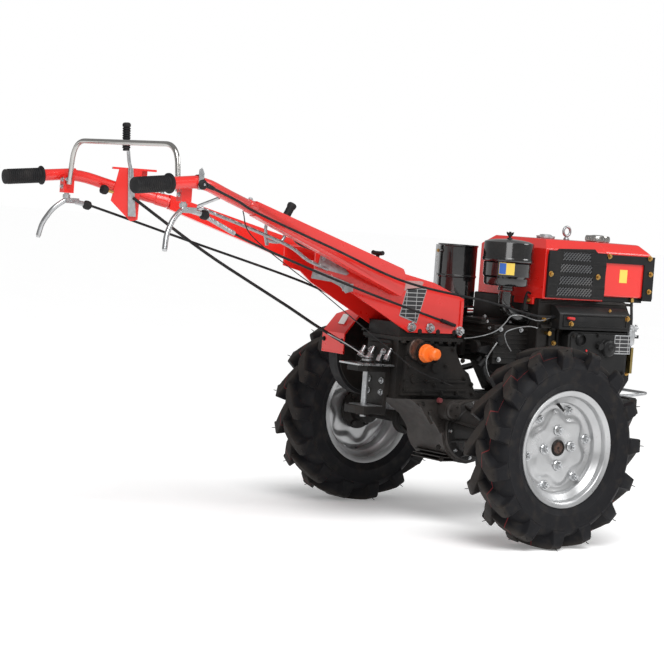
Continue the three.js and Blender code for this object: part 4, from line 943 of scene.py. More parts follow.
# ------------------------------------------------------------------ engine
def engine_block(sizes):
    """Crankcase and cylinder head with their cast ribs, covers, studs and pipes."""
    def casting(bm):
        for x in (230, 262, 552):
            prism(bm, [(x - 4, 470), (x + 4, 470), (x + 4, 600), (x - 4, 600)], "Y", -158, -148)
        block(bm, 190, 276, -160, -148, 600, 612)
        drum(bm, (236, -150, 520), (236, -166, 520), 30, 26, sides=32)
        drum(bm, (240, -150, 610), (240, -162, 610), 16, 14, sides=24)
        block(bm, 183, 573, -152, 152, 676, 684)
        prism(bm, [(300, 400), (520, 400), (500, 452), (318, 452)], "Y", -156, -148)
        for x in (320, 380, 440, 500):
            block(bm, x - 4, x + 4, -162, -148, 402, 450)

    dressed("crankcase", "cast", 4.0, extra=casting)

    def head(bm):
        prism(bm, [(50, -70), (160, -70), (172, -58), (172, 58), (160, 70), (50, 70), (40, 58), (40, -58)],
              "Z", 600, 606)
        prism(bm, [(58, -58), (148, -58), (158, -48), (158, 50), (148, 60), (58, 60), (50, 50), (50, -48)],
              "Z", 604, 616)
        for z in range(504, 592, 14):
            block(bm, 46, 178, -115, 115, z, z + 4)
        drum(bm, (70, -112, 560), (70, -122, 560), 20, 17, sides=28)
        drum(bm, (46, -40, 530), (34, -40, 530), 22, 19, sides=28)
        block(bm, 44, 30, 10, 70, 500, 560)

    dressed("cylinder_head", "cast", 2.5, extra=head)
    bm = bmesh.new()
    for x, y in ((60, -64), (150, -64), (60, 64), (150, 64)):
        bolt(bm, (x, y, 606), Z, 6)
    bolts(bm, ((70, 500), (150, 500), (70, 590), (150, 590)), -115, 6)
    for y, z in ((-90, 508), (-90, 590), (90, 508), (90, 590)):
        bolt(bm, (48, y, z), -X, 6)
    bolt(bm, (104, 0, 616), Z, 7)
    finished(bm, "cylinder_head_bolts", "zinc", bevel=0.4)
    bm = bmesh.new()
    face = span("crankcase")[1].x
    prism(bm, [(-118, 418), (118, 418), (126, 430), (126, 622), (112, 640), (-112, 640), (-126, 622),
               (-126, 430)], "X",
          face - 2, face + 4)
    prism(bm, [(-88, 452), (88, 452), (88, 604), (-88, 604)], "X", face + 3, face + 7)
    for y in (-112, -38, 38, 112):
        for z in (432, 626):
            bolt(bm, (face + 4, y, z), X, 6.5)
    for y in (-116, 116):
        for z in (496, 562):
            bolt(bm, (face + 4, y, z), X, 6.5)
    finished(bm, "crankcase_front_cover", "black", bevel=1.0)
    bm = bmesh.new()
    bolts(bm, ((205, 528), (252, 556), (206, 628), (262, 640), (566, 470), (566, 600)), -150.5, 6.5)
    for x, z in ((250, 494), (218, 586)):
        drum(bm, (x, -150, z), (x, -164, z), 6, sides=14)
        drum(bm, (x, -160, z), (x, -168, z), 8, sides=6)
    finished(bm, "crankcase_fittings", "brass", bevel=0.5)
    bm = bmesh.new()
    tube(bm, flowing([(272, -166, 643), (228, -160, 633), (181, -152, 622), (132, -130, 634),
                      (105, -116, 630), (84, -120, 613), (57, -118, 589),
                      (24, -110, 573), (-15, -100, 563), (-50, -92, 558)]), 1.6)
    tube(bm, flowing([(181, -152, 600), (150, -150, 604), (110, -136, 596), (83, -122, 580), (89, -122, 553),
                      (112, -120, 527)]), 1.6)
    tube(bm, flowing([(60, -120, 556), (40, -118, 530), (30, -108, 500), (40, -100, 470), (58, -96, 444)]),
         1.8)
    finished(bm, "engine_pipes", "galvanised")
    bm = bmesh.new()
    tube(bm, rounded([(168, -110, 690), (150, -124, 690), (146, -126, 664), (150, -122, 650)], 14), 5)
    tube(bm, flowing([(60, -90, 500), (34, -96, 470), (44, -104, 440), (80, -96, 418), (112, -110, 402)]),
         5.5)
    drum(bm, (60, -117, 560), (60, -128, 560), 9, sides=6)
    for x, y, z in ((20, -88, 476), (36, -60, 486)):
        drum(bm, (x, y, z), (x + 24, y, z + 22), 7, sides=14)
    prism(bm, [(6, 520), (48, 512), (48, 540), (12, 534)], "Y", -98, -90)
    finished(bm, "engine_hoses", "rubber", bevel=0.5)


def gear_cover(sizes):
    """The gear case cover with its boss, bolts, sight hole and blank plate."""
    face = span("gear_case_cover")[0].y + 16
    hole_x, hole_z = 328, 571

    def boss(bm):
        prism(bm, [(296, 466), (510, 466), (520, 476), (520, 580), (510, 590), (298, 590), (288, 580),
                   (288, 476)], "Y", face - 3, face + 2)
        lathe(bm, [(0, face - 24), (9, face - 24), (11, face - 20), (18, face - 19), (25, face - 16),
                   (27, face - 4), (32, face)], (440, 0, 548), Y, 36)
        lathe(bm, [(15, face - 12), (15, face + 1), (20, face + 1), (20, face - 5), (15, face - 12)],
              (hole_x, 0, hole_z), Y, 28)
        drum(bm, (404, face, 556), (404, face - 16, 552), 15, 12, sides=6)

    dressed("gear_case_cover", "black", 3.0, extra=boss)
    bm = bmesh.new()
    drum(bm, (hole_x, face - 3.3, hole_z), (hole_x, face - 1, hole_z), 9, sides=24)
    finished(bm, "gear_case_sight_hole", "rubber")
    bm = bmesh.new()
    bolts(bm, ((298, 582), (298, 474), (512, 474), (400, 470), (398, 586), (340, 470)), face - 2.5, 5.5)
    finished(bm, "gear_case_bolts", "cast", bevel=0.5)
    bm = bmesh.new()
    prism(bm, [(468, 531), (536, 531), (536, 589), (468, 589)], "Y", face - 4.0, face - 2.8)
    finished(bm, "engine_plate_border", "alloy", bevel=0.3)
    bm = bmesh.new()
    prism(bm, [(471, 534), (533, 534), (533, 586), (471, 586)], "Y", face - 4.6, face - 2.8)
    finished(bm, "engine_plate", "plate", bevel=0.3)
    bm = bmesh.new()
    drum(bm, (354, face - 1, 539), (354, face - 5, 539), 3.6, sides=14)
    finished(bm, "gear_case_plugs", "red_plug", bevel=0.5)


def pump_guard(sizes):
    """The sheet guard over the fuel pump, with its pressed window and red lever."""
    low, high = span("pump_guard")
    face = low.y
    bm = bmesh.new()
    prism(bm, [(-150.5, 601), (-150.5, 672), (-166, 671), (-171, 669), (face + 3, 652), (face, 647),
               (face, 601)], "X", low.x, high.x)
    finished(bm, "pump_guard_sheet", "black", nodes=["pump_guard"], bevel=1.6)
    bm = bmesh.new()
    for x0, x1, z0, z1 in ((244, 506, 644, 646.5), (244, 506, 611, 613.5), (244, 246.5, 611, 646),
                           (503.5, 506, 611, 646)):
        block(bm, x0, x1, face - 2.5, face + 1, z0, z1)
    finished(bm, "pump_guard_window_rim", "black", bevel=1.0)
    bm = bmesh.new()
    block(bm, 262, 340, face - 0.8, face + 1, 626, 640)
    finished(bm, "pump_guard_window", "rubber")
    bm = bmesh.new()
    drum(bm, (286, face - 2, 634), (258, face - 4, 636), 5, 3.5, sides=16)
    finished(bm, "pump_lever_tip", "red_plug", bevel=0.8)
    bm = bmesh.new()
    for x, z, size in ((276, 618, 7), (508, 640, 7), (440, 662, 4)):
        bolt(bm, (x, face if z < 650 else face + 8, z), -Y, size)
    finished(bm, "pump_guard_bolts", "brass", bevel=0.4)


def flywheel_and_belts(sizes):
    """Flywheel with rim teeth and spokes, clutch pulley with grooves, and the belts."""
    low, high = span("flywheel")
    x = (low.x + high.x) / 2
    z = (low.z + high.z) / 2

    def rim(bm):
        lathe(bm, [(172, 152), (174, 154), (174, 160), (171, 162), (171, 190), (166, 197.5), (140, 198.4),
                   (132, 198.3)], (x, 0, z), Y, 72)
        for dx, dz, _ in ring_of(5, 100, 0.3):
            drum(bm, (x + dx, 190, z + dz), (x + dx, 201, z + dz), 24, 20, sides=28)
        for y in (212, 226, 240):
            lathe(bm, [(61, y - 4), (63.5, y - 3), (63.5, y + 1), (61, y + 2)], (x, 0, z), Y, 40)

    dressed("flywheel", "cast", 1.5, extra=rim)

    pulley_x, pulley_z = -163, 478

    def grooves(bm):
        for y in (210, 222, 234, 246):
            lathe(bm, [(111, y - 3), (112.8, y - 2), (112.8, y + 2), (111, y + 3)], (pulley_x, 0, pulley_z),
                  Y, 56)
        for dx, dz, _ in ring_of(6, 72):
            drum(bm, (pulley_x + dx, 250, pulley_z + dz), (pulley_x + dx, 255, pulley_z + dz), 16, 14,
                 sides=24)
        drum(bm, (pulley_x, 250, pulley_z), (pulley_x, 258, pulley_z), 30, 26, sides=32)

    dressed("clutch_pulley", "cast", 1.5, extra=grooves)
    dressed("drive_belts", "rubber", 1.0)


def hood(sizes):
    """The radiator hood: rolled edges, pressed shoulder and its small bracket."""
    low, high = span("radiator_hood")

    def edges(bm):
        block(bm, low.x + 2, high.x - 1, low.y - 1.2, low.y + 2, low.z + 1, low.z + 7)
        prism(bm, [(low.y + 4, 840), (low.y - 2.2, 837), (low.y - 2.2, 832), (low.y + 2, 834)], "X", 232,
              high.x - 1)

    dressed("radiator_hood", "red", 7.0, extra=edges)
    bm = bmesh.new()
    block(bm, 174, 181, -130, -45, 669, 690)
    block(bm, 174, 196, -130, -45, 686, 690)
    finished(bm, "hood_bracket", "red", bevel=1.2)
    bm = bmesh.new()
    bolt(bm, (174, -112, 679), -X, 6)
    finished(bm, "hood_bracket_bolt", "brass", bevel=0.4)


def grille(sizes):
    """The side panel with its four mesh windows and brass bolts."""
    low, high = span("radiator_grille")
    face = low.y
    windows = [(806, 246, 358), (770, 238, 366), (734, 238, 372), (700, 230, 372)]
    slot_high = 26
    bm = bmesh.new()
    outer = [(190, 693), (423, 693), (424, 828), (418, 832), (390, 834), (384, 838), (376, 845), (232, 840),
             (224, 834), (196, 828), (190, 820)]
    prism(bm, outer, "Y", face + 3, high.y)
    bars = [(190, 424, 693, 700)]
    tops = sorted(windows)
    for (z, x0, x1), above in zip(tops, tops[1:] + [(834, 246, 358)]):
        bars.append((190, x0, z, z + slot_high))
        bars.append((x1, 424, z, z + slot_high))
        bars.append((190, 424, z + slot_high, min(above[0], 834)))
    for x0, x1, z0, z1 in bars:
        if z1 > z0:
            block(bm, x0, x1, face, face + 4, z0, z1)
    finished(bm, "radiator_grille_panel", "black", nodes=["radiator_grille"], bevel=0.9)
    bm = bmesh.new()
    pitch = mm(sizes.mesh_pitch)
    for z, x0, x1 in windows:
        count = int((x1 - x0) / pitch) + 3
        for k in range(count):
            for lean in (1, -1):
                foot = x0 + (k - 1) * pitch
                a = Vector((foot, face + 1.6, z))
                b = Vector((foot + lean * slot_high, face + 1.6, z + slot_high))
                if lean < 0:
                    a.x += slot_high
                    b.x += slot_high
                run = b - a
                lo = max(0.0, min(1.0, (x0 - min(a.x, b.x)) / abs(run.x)))
                hi = max(0.0, min(1.0, (x1 - min(a.x, b.x)) / abs(run.x)))
                if hi - lo < 0.1:
                    continue
                f, g = (a + run * lo, a + run * hi) if lean > 0 else (b - run * lo, b - run * hi)
                drum(bm, f, g, 1.7, sides=4)
    finished(bm, "radiator_grille_mesh", "strand")
    bm = bmesh.new()
    block(bm, 226, 376, face + 2.6, face + 3.2, 696, 834)
    finished(bm, "radiator_grille_dark", "rubber")
    bm = bmesh.new()
    bolts(bm, ((200, 764), (392, 762)), face, mm(sizes.bolt) * 0.85)
    finished(bm, "radiator_grille_bolts", "brass", bevel=0.4)


def tank(sizes):
    """The fuel tank, its strap and tray, and the brass bolts."""
    dressed("fuel_tank", "red", 7.0)

    def folds(bm):
        low, high = span("tank_bracket")
        for z in (707, 829):
            block(bm, high.x - 38, high.x + 1, low.y - 1.5, low.y + 2, z - 1.5, z + 1.5)
        block(bm, high.x - 2, high.x + 1.5, low.y, low.y + 8, 700, 832)

    dressed("tank_bracket", "black", 1.6, extra=folds)
    bm = bmesh.new()
    face = span("tank_bracket")[0].y
    bolts(bm, ((440, 827), (612, 828), (620, 779), (618, 725)), face - 1, mm(sizes.bolt) * 0.85)
    finished(bm, "tank_bolts", "brass", bevel=0.4)
    bm = bmesh.new()
    side = span("fuel_tank")[0].y
    prism(bm, [(494, 748), (526, 748), (526, 788), (494, 788)], "Y", side - 0.6, side + 0.4)
    finished(bm, "tank_blank_label", "yellow")


def caps(sizes):
    """Fuel cap, radiator cap and lifting eye."""
    top = span("fuel_cap")[0].z
    centre = middle_of("fuel_cap")
    bm = bmesh.new()
    lathe(bm, [(0, top), (35, top), (38, top + 2), (38, top + 15), (36.5, top + 19), (33, top + 20),
               (31, top + 16), (29, top + 15.5),
               (24, top + 20), (12, top + 22), (0, top + 22)], centre, Z, 56)
    for dx, dy, _ in ring_of(24, 37.6):
        drum(bm, (centre[0] + dx, centre[1] + dy, top + 4), (centre[0] + dx, centre[1] + dy, top + 14), 1.6,
             sides=6)
    finished(bm, "fuel_cap_turned", "chrome", nodes=["fuel_cap"], bevel=0.6)
    centre = middle_of("radiator_cap")
    z = span("radiator_cap")[0].z
    bm = bmesh.new()
    lathe(bm, [(0, z), (27, z), (28, z + 1), (28, z + 6), (25, z + 8), (20, z + 8.5), (17, z + 12),
               (10, z + 13), (0, z + 13)], centre, Z, 44)
    block(bm, centre[0] - 33, centre[0] + 33, centre[1] - 7, centre[1] + 7, z + 4, z + 8)
    finished(bm, "radiator_cap_pressed", "alloy", nodes=["radiator_cap"], bevel=1.0)
    low, high = span("lifting_eye")
    x, zc = (low.x + high.x) / 2, high.z - 18
    bm = bmesh.new()
    tube(bm, [(x + dx, 0, zc + dz) for dx, dz, _ in ring_of(32, 14)], 4.0, 4, closed=True)
    lathe(bm, [(0, low.z), (9, low.z), (9.4, low.z + 2), (8, low.z + 6), (5, low.z + 9), (0, low.z + 11)],
          (x, 0, 0), Z, 28)
    finished(bm, "lifting_eye_forged", "galvanised", nodes=["lifting_eye"], bevel=0.3)


BOWL_R = 72  # outer radius of the air cleaner's bowl


def air_cleaner(sizes):
    """Oil-bath air cleaner: bowl, flared cap, wing nut, clips, pipe and elbow."""
    c = Vector(middle_of("air_cleaner_cap"))
    bm = bmesh.new()
    lathe(bm, [(0, 719), (20, 719), (62, 719), (66, 721), (68, 726), (68, 742), (72, 748), (72, 786),
               (69, 790), (0, 790)], c, Z, 64)
    lathe(bm, [(0, 722), (23, 722), (23, 714), (24.5, 713), (24.5, 706), (23, 705), (0, 704)], c, Z, 40)
    finished(bm, "air_cleaner_bowl_tin", "tin", nodes=["air_cleaner_bowl"], bevel=0.8)
    bm = bmesh.new()
    lathe(bm, [(0, 791), (76, 791), (77, 793), (77, 799), (76, 801), (75, 804), (74.5, 844), (73, 848),
               (68, 850), (64, 851), (60, 853),
               (40, 856), (14, 858), (0, 858)], c, Z, 64)
    finished(bm, "air_cleaner_cap_tin", "tin", nodes=["air_cleaner_cap"], bevel=0.6)
    bm = bmesh.new()
    drum(bm, (c.x, c.y, 857), (c.x, c.y, 862), 9, 7, sides=20)
    drum(bm, (c.x, c.y, 860), (c.x, c.y, 880), 3.6, sides=12)
    for s in (RIGHT, LEFT):
        prism(bm, [(c.x + s * 3, 864), (c.x + s * 12, 872), (c.x + s * 14, 879), (c.x + s * 7, 877),
                   (c.x + s * 3, 872)], "Y", c.y - 1.8, c.y + 1.8)
    finished(bm, "air_cleaner_wing_nut", "cast", bevel=0.5)
    bm = bmesh.new()
    for a in (-150, -30, 90):
        d = Vector((math.cos(math.radians(a)), math.sin(math.radians(a)), 0))
        base = c + d * 70
        turn = Matrix.Rotation(math.radians(a), 4, "Z")
        block(bm, base.x - 2, base.x + 2, base.y - 6, base.y + 6, 768, 804, turn)
    finished(bm, "air_cleaner_clips", "tin", bevel=0.8)
    for name, finish, u0, u1, z0, z1 in (
            ("air_cleaner_blank_label", "yellow", -24, 22, 753, 788),
        ("air_cleaner_label_patch", "blue", -23, -3, 754.5, 786.5)):
        bm = bmesh.new()
        lift = 0.5 if finish == "yellow" else 0.8
        steps = 6
        r = BOWL_R + lift
        face = [bm.verts.new(c + Vector((math.sin(u / BOWL_R) * r, -math.cos(u / BOWL_R) * r, z0)))
                for u in [u0 + (u1 - u0) * i / steps for i in range(steps + 1)]]
        edges = [bm.edges.new(pair) for pair in zip(face, face[1:])]
        upper = verts_of(bmesh.ops.extrude_edge_only(bm, edges=edges))
        bmesh.ops.translate(bm, verts=upper, vec=(0, 0, z1 - z0))
        bmesh.ops.rotate(bm, verts=bm.verts, cent=c, matrix=Matrix.Rotation(math.radians(-42), 3, "Z"))
        bmesh.ops.solidify(bm, geom=list(bm.faces), thickness=0.3)
        finished(bm, name, finish)
    bm = bmesh.new()
    elbow_z = 628
    tube(bm, rounded([(c.x, c.y, 702.5), (c.x, c.y, 652), (c.x + 50, c.y, elbow_z), (181.6, c.y, elbow_z)],
                     40, 10), 19, 6)
    for z in (696, 664):
        lathe(bm, [(19, z), (21, z), (21, z - 6), (19, z - 6)], c, Z, 36)
    lathe(bm, [(19, 174), (27, 174), (27, 181), (19, 181)], (0, c.y, elbow_z), X, 36)
    finished(bm, "intake_elbow_pipe", "tin", nodes=["intake_elbow"], bevel=0.5)
    bm = bmesh.new()
    bolt(bm, (150, c.y - 22, 640), (0, -1, 0), 5)
    tube(bm, rounded([(176, c.y - 20, 700), (160, c.y - 24, 706), (150, c.y - 28, 690), (150, c.y - 26, 664)],
                     12), 3.2)
    block(bm, 142, 158, c.y - 34, c.y - 20, 652, 668)
    finished(bm, "breather_hose", "rubber", bevel=0.6)


def muffler(sizes):
    """The silencer drum with its rolled seams, outlet pipe and heat shield."""
    low, high = span("muffler")
    c = Vector(middle_of("muffler"))
    r, z0, z1 = (high.x - low.x) / 2, low.z, high.z
    seam_z, w = 735, mm(sizes.seam)
    shield_bolts_z = (700, 808)
    bm = bmesh.new()
    lathe(bm, [(0, z0 + 3), (r - 6, z0 + 3), (r - 1, z0), (r, z0 + 1), (r, z0 + 5), (r - 2, z0 + 7),
               (r - 2, seam_z - w), (r, seam_z - w / 2),
               (r, seam_z + w / 2), (r - 2, seam_z + w), (r - 2, z1 - 7), (r, z1 - 5), (r, z1 - 1),
               (r - 1, z1), (r - 5, z1 - 2), (0, z1 - 3)], c, Z, 72)
    drum(bm, (c.x, c.y, z1 - 4), (c.x, c.y, z1 - 1), 22, 20, sides=32)
    prism(bm, [(c.x + r - 4, c.y - 3), (c.x + r - 1.5, c.y - 3), (c.x + r - 1.5, c.y + 3),
               (c.x + r - 4, c.y + 3)], "Z", z0 + 6, z1 - 6)
    finished(bm, "muffler_drum", "tin", nodes=["muffler"], bevel=0.5)
    bm = bmesh.new()
    for i in range(5):
        a, b = math.radians(158 + i * 3), math.radians(158 + (i + 1) * 3)
        pts = [(c.x + q * math.cos(t), c.y + q * math.sin(t)) for q,
               t in ((r + 9, a), (r + 9, b), (r + 7.6, b), (r + 7.6, a))]
        prism(bm, pts, "Z", 682, 826)
    for z in shield_bolts_z:
        drum(bm, (c.x - r + 2, c.y + 8, z), (c.x - r - 8, c.y + 9, z), 4, sides=12)
    finished(bm, "muffler_heat_shield", "zinc", bevel=0.3)
    bm = bmesh.new()
    for z in shield_bolts_z:
        bolt(bm, (c.x - r - 7.5, c.y + 9, z), (-1, 0.1, 0), 4.5)
    finished(bm, "muffler_heat_shield_bolts", "brass", bevel=0.3)


def fuel_line(sizes):
    """Fuel filter, its tap and the hose up to the tank."""
    low = span("fuel_filter")[0]
    x, y = 548, low.y + 14

    bm = bmesh.new()
    lathe(bm, [(0, 557), (8, 557), (10, 559), (13, 561), (14, 566), (14, 604), (13, 607), (15, 608),
               (15, 613), (9, 614), (9, 621), (0, 621)],
          (x, y, 0), Z, 32)
    block(bm, x - 7, x + 7, y + 6, -150.6, 594, 610)
    drum(bm, (x, y, 612), (x + 30, y, 612), 5, sides=14)
    drum(bm, (x + 22, y, 600), (x + 22, y, 622), 4, sides=12)
    drum(bm, (x, y, 600), (x + 24, y - 2, 586), 4, sides=12)
    finished(bm, "fuel_filter_body", "alloy", nodes=["fuel_filter"], bevel=0.8)
    bm = bmesh.new()
    tube(bm, rounded([(x, y, 621.4), (x, y, 640), (x + 12, -155, 680), (x + 12, -155, 702.6)], 16), 4.5, 4)
    block(bm, x + 16, x + 34, y - 3, y + 3, 580, 590)
    finished(bm, "fuel_hose_rubber", "rubber", nodes=["fuel_hose"], bevel=0.5)
    bm = bmesh.new()
    drum(bm, (x + 12, -155, 690), (x + 12, -155, 702), 7, sides=6)
    finished(bm, "fuel_line_fittings", "brass", bevel=0.8)
    bm = bmesh.new()
    prism(bm, [(558, 471), (568, 471), (568, 551), (558, 551)], "Y", -172, -150.6)
    finished(bm, "fuel_line_strip", "olive", bevel=0.8)


# ------------------------------------------------------------------ belt drive guard
def belt_guard(sizes):
    """The red guard over the belts, with its rolled lip and a blank label."""
    def lip(bm):
        low, high = span("belt_guard")
        x0, x1 = low.x - 1, low.x + 5
        for y in (high.y - 3, low.y + 78):
            prism(bm, [(x0, 484), (x1, 484), (x1, 490), (x0, 490)], "Y", y - 2, y + 2)
        tube(bm, [(low.x + 2, high.y - 1, 485), (low.x + 2, 160, 485)], 2.4)

    dressed("belt_guard", "red", 2.5, extra=lip)
    low, high = span("belt_guard")
    bm = bmesh.new()
    turn = Matrix.Rotation(math.radians(-58), 4, "Y")
    block(bm, low.x + 10, low.x + 44, 186, 214, 583, 584.5, turn)
    finished(bm, "belt_guard_label", "label")
    bm = bmesh.new()
    for y in (166, 254):
        bolt(bm, (low.x, y, 520), -X, 6)
    finished(bm, "belt_guard_bolts", "black", bevel=0.4)


# ------------------------------------------------------------------ console
def console(sizes):
    """The red console between gearbox and handles, with everything fixed to it."""
    skin = -span("console_frame")[0].y
    top = [(-50, 672), (-168, 716), (-600, 800)]

    def folds(bm):
        for s in (RIGHT, LEFT):
            tube(bm, [(x + 1, s * (skin - 2.6), z - 2.4) for x, z in top], 2.6, 3)
            prism(bm, [(-62, 560), (-52, 560), (-52, 664), (-62, 668)], "Y", s * skin - 4, s * skin + 4)

    dressed("console_frame", "red", 2.0, extra=folds)
    bm = bmesh.new()
    for s in (RIGHT, LEFT):
        for x, z in ((-241, 585), (-172, 584), (-59, 578)):
            drum(bm, (x, s * skin, z), (x, s * (skin + 3.5), z), 15, 14, sides=28)
            bolt(bm, (x, s * (skin + 3), z), (0, s, 0), 11)
    finished(bm, "console_bolts", "zinc", bevel=0.6)
    bm = bmesh.new()
    for s in (RIGHT, LEFT):
        for x in (-208, -140, -78):
            drum(bm, (x, s * (skin - 3), 573), (x, s * (skin + 0.7), 573), 8, sides=24)
    finished(bm, "console_scallops", "cast")
    bm = bmesh.new()
    prism(bm, [(-268, 695), (-289, 616), (-223, 596), (-191, 703)], "Y", -skin - 0.9, -skin + 0.4)
    finished(bm, "console_plate_border", "alloy", bevel=0.3)
    bm = bmesh.new()
    prism(bm, [(-266, 692), (-286, 619), (-225, 600), (-194, 700)], "Y", -skin - 1.5, -skin + 0.4)
    finished(bm, "console_blank_plate", "plate", bevel=0.3)
    bm = bmesh.new()
    prism(bm, [(-290, 700), (-284, 689), (-216, 695), (-208, 717), (-222, 719), (-285, 718)], "Y",
          -skin - 0.9, -skin + 0.4)
    finished(bm, "console_blank_label", "faded", bevel=0.3)
    bm = bmesh.new()
    knob_x = -322
    tube(bm, [(knob_x, 0, 744), (knob_x, 0, 786)], 5.5)
    tube(bm, rounded([(knob_x, -24, 792), (knob_x, -12, 790), (knob_x, 12, 790), (knob_x, 24, 792)], 6), 6.5,
         4)
    lathe(bm, [(0, 742), (12, 742), (13, 746), (11, 760), (7, 768), (0, 769)], (knob_x, 0, 0), Z, 24)
    tube(bm, flowing([(-560, -60, 789), (-610, -60, 797), (-652, -60, 810), (-676, -60, 838),
                      (-696, -60, 878)]), 7, 4)
    finished(bm, "console_control_rods", "cast", bevel=0.5)
    bm = bmesh.new()
    lathe(bm, [(0, 0), (9, 0), (11, 3), (11, 28), (13, 33), (13, 40), (10, 43), (0, 43)], (-699, -60, 876),
          (21, 0, 38), 24)
    finished(bm, "console_lever_grip", "rubber", bevel=0.4)
    bm = bmesh.new()
    hinge_y = -78.2
    prism(bm, [(-612, 712), (-606, 738), (-480, 704), (-468, 680), (-488, 674), (-508, 692), (-540, 704),
               (-600, 710)],
          "Y", -82, hinge_y)
    block(bm, -500, -470, -90, hinge_y, 680, 702)
    prism(bm, [(-590, 752), (-584, 782), (-566, 782), (-548, 768), (-500, 748), (-480, 730), (-490, 724),
               (-590, 742)],
          "Y", hinge_y - 2, hinge_y)
    for x, z in ((-592, 724), (-494, 700), (-572, 768)):
        bolt(bm, (x, -82 if z < 760 else hinge_y - 2, z), -Y, 6)
    finished(bm, "console_hinge_bracket", "galvanised", bevel=0.6)
    bm = bmesh.new()
    tube(bm, flowing([(-776, -90, 872), (-784, -90, 846), (-782, -90, 826), (-776, -90, 810),
                      (-756, -90, 806), (-732, -90, 808),
                      (-720, -90, 822), (-722, -90, 838)]), 4.4, 4)
    tube(bm, [(-780, -96, 796), (-784, -90, 822)], 5)
    tube(bm, [(-776, -90, 870), (-776, -174, 858)], 4.4)
    tube(bm, [(-722, -90, 836), (-722, -163, 842)], 4.4)
    finished(bm, "console_wire_loop", "galvanised")


# ------------------------------------------------------------------ handles
SLEEVE, BEND = Vector((-912, 210, 893)), Vector((-1045, 279, 922))
KINK, GRIP_END = Vector((-1150, 319, 952)), Vector((-1362, 340, 929))
BEAM_END = Vector((-312, 90, 714))


def on_side(point, s):
    return Vector((point[0], s * point[1], point[2]))


def handles(sizes):
    """Both handles: flat beam, sleeve, bent tube and lever clamp, with bolts."""
    for side, s in SIDES:
        sleeve, bend, kink, end = (on_side(p, s) for p in (SLEEVE, BEND, KINK, GRIP_END))
        beam = (on_side(BEAM_END, s) - sleeve).normalized()

        def welds(bm):
            stub = (bend - sleeve).normalized()
            drum(bm, sleeve - beam * 4, sleeve + stub * 36, 19, 18, sides=32)
            drum(bm, sleeve + stub * 36, sleeve + stub * 40, 18, 16.4, sides=32)
            drum(bm, kink + (end - kink).normalized() * 4, end, 16.05, sides=32)

        dressed(f"handle_{side}", "red", 1.6, extra=welds)
        bm = bmesh.new()
        stub = (bend - sleeve).normalized()
        bolt(bm, sleeve + stub * 20 + Z * 18, Z, 6)
        bolt(bm, on_side((-1203, 299.8, 915), s), -X, 5.5)
        bolt(bm, on_side((-1203, 299.8, 934), s), -X, 5.5)
        finished(bm, f"handle_{side}_bolts", "zinc", bevel=0.4)


def grips(sizes):
    """The ribbed rubber grips."""
    for side, s in SIDES:
        kink, end = on_side(KINK, s), on_side(GRIP_END, s)
        run = (end - kink).normalized()
        long = 112
        outline = [(16.3, 0), (25, 0), (26, 1.5), (26, 4.5), (24, 6.5), (20.4, 8.5)]
        pitch = (long - 20) / sizes.grip_ribs
        for i in range(sizes.grip_ribs):
            h = 11 + i * pitch
            outline += [(19.4, h), (21, h + pitch * 0.3), (21, h + pitch * 0.7), (19.4, h + pitch * 0.95)]
        outline += [(20.4, long - 6), (20.4, long - 2.4), (18.8, long - 0.2), (12, long + 0.4),
                    (0, long + 0.6)]
        bm = bmesh.new()
        lathe(bm, outline, end - run * long, run, 40)
        bmesh.ops.holes_fill(bm, edges=[e for e in bm.edges if e.is_boundary], sides=64)
        finished(bm, f"grip_{side}_rubber", "rubber", nodes=[f"grip_{side}"])


def guard_bar(sizes):
    """The chromed bar between the handles."""
    low, high = span("guard_bar")
    r = mm(sizes.bar_radius)
    x, foot, top = (low.x + high.x) / 2, high.y - r, high.z - r
    ends = rounded([(x, -foot, low.z + 1), (x, -foot + 18, top), (x, foot - 18, top), (x, foot, low.z + 1)],
                   80, 14)
    bm = bmesh.new()
    tube(bm, ends, r, 6)
    finished(bm, "guard_bar_chrome", "chrome", nodes=["guard_bar"])
    bm = bmesh.new()
    for s in (RIGHT, LEFT):
        bolt(bm, (x - r, s * foot, low.z + 14), -X, 4.6)
    finished(bm, "guard_bar_bolts", "zinc", bevel=0.3)


# ------------------------------------------------------------------ controls
def shift_lever(sizes):
    """The gear lever with its ribbed knob, and the small lever beside it."""
    low, high = span("shift_knob")
    dressed("shift_lever", "galvanised", 1.0)
    foot = Vector((high.x - 15, low.y + 15, low.z + 2))
    tip = Vector((low.x + 12, high.y - 14, high.z - 1))
    run = (tip - foot).normalized()
    long = (tip - foot).length
    outline = [(0, 0), (9, 0), (10, 2)]
    ribs = 9
    for i in range(ribs):
        h = 6 + i * (long - 20) / ribs
        outline += [(8.8, h), (11.4, h + 2), (11.4, h + 5), (8.9, h + 6.6)]
    outline += [(11.6, long - 11), (11.9, long - 6), (9.6, long - 1.4), (5, long), (0, long)]
    bm = bmesh.new()
    lathe(bm, outline, foot, run, 32)
    finished(bm, "shift_knob_rubber", "rubber", nodes=["shift_knob"])
    bm = bmesh.new()
    drum(bm, (-1086, 258, 913), (-1066, 257, 909), 4.5, sides=14)
    finished(bm, "side_knob_stud", "brass", bevel=0.4)
    bm = bmesh.new()
    lathe(bm, [(0, 0), (9, 0), (12, 3), (13.5, 10), (12, 18), (6, 21), (0, 21)], (-1084, 258, 912),
          (-1, 0, 0.2), 28)
    finished(bm, "side_knob", "rubber")


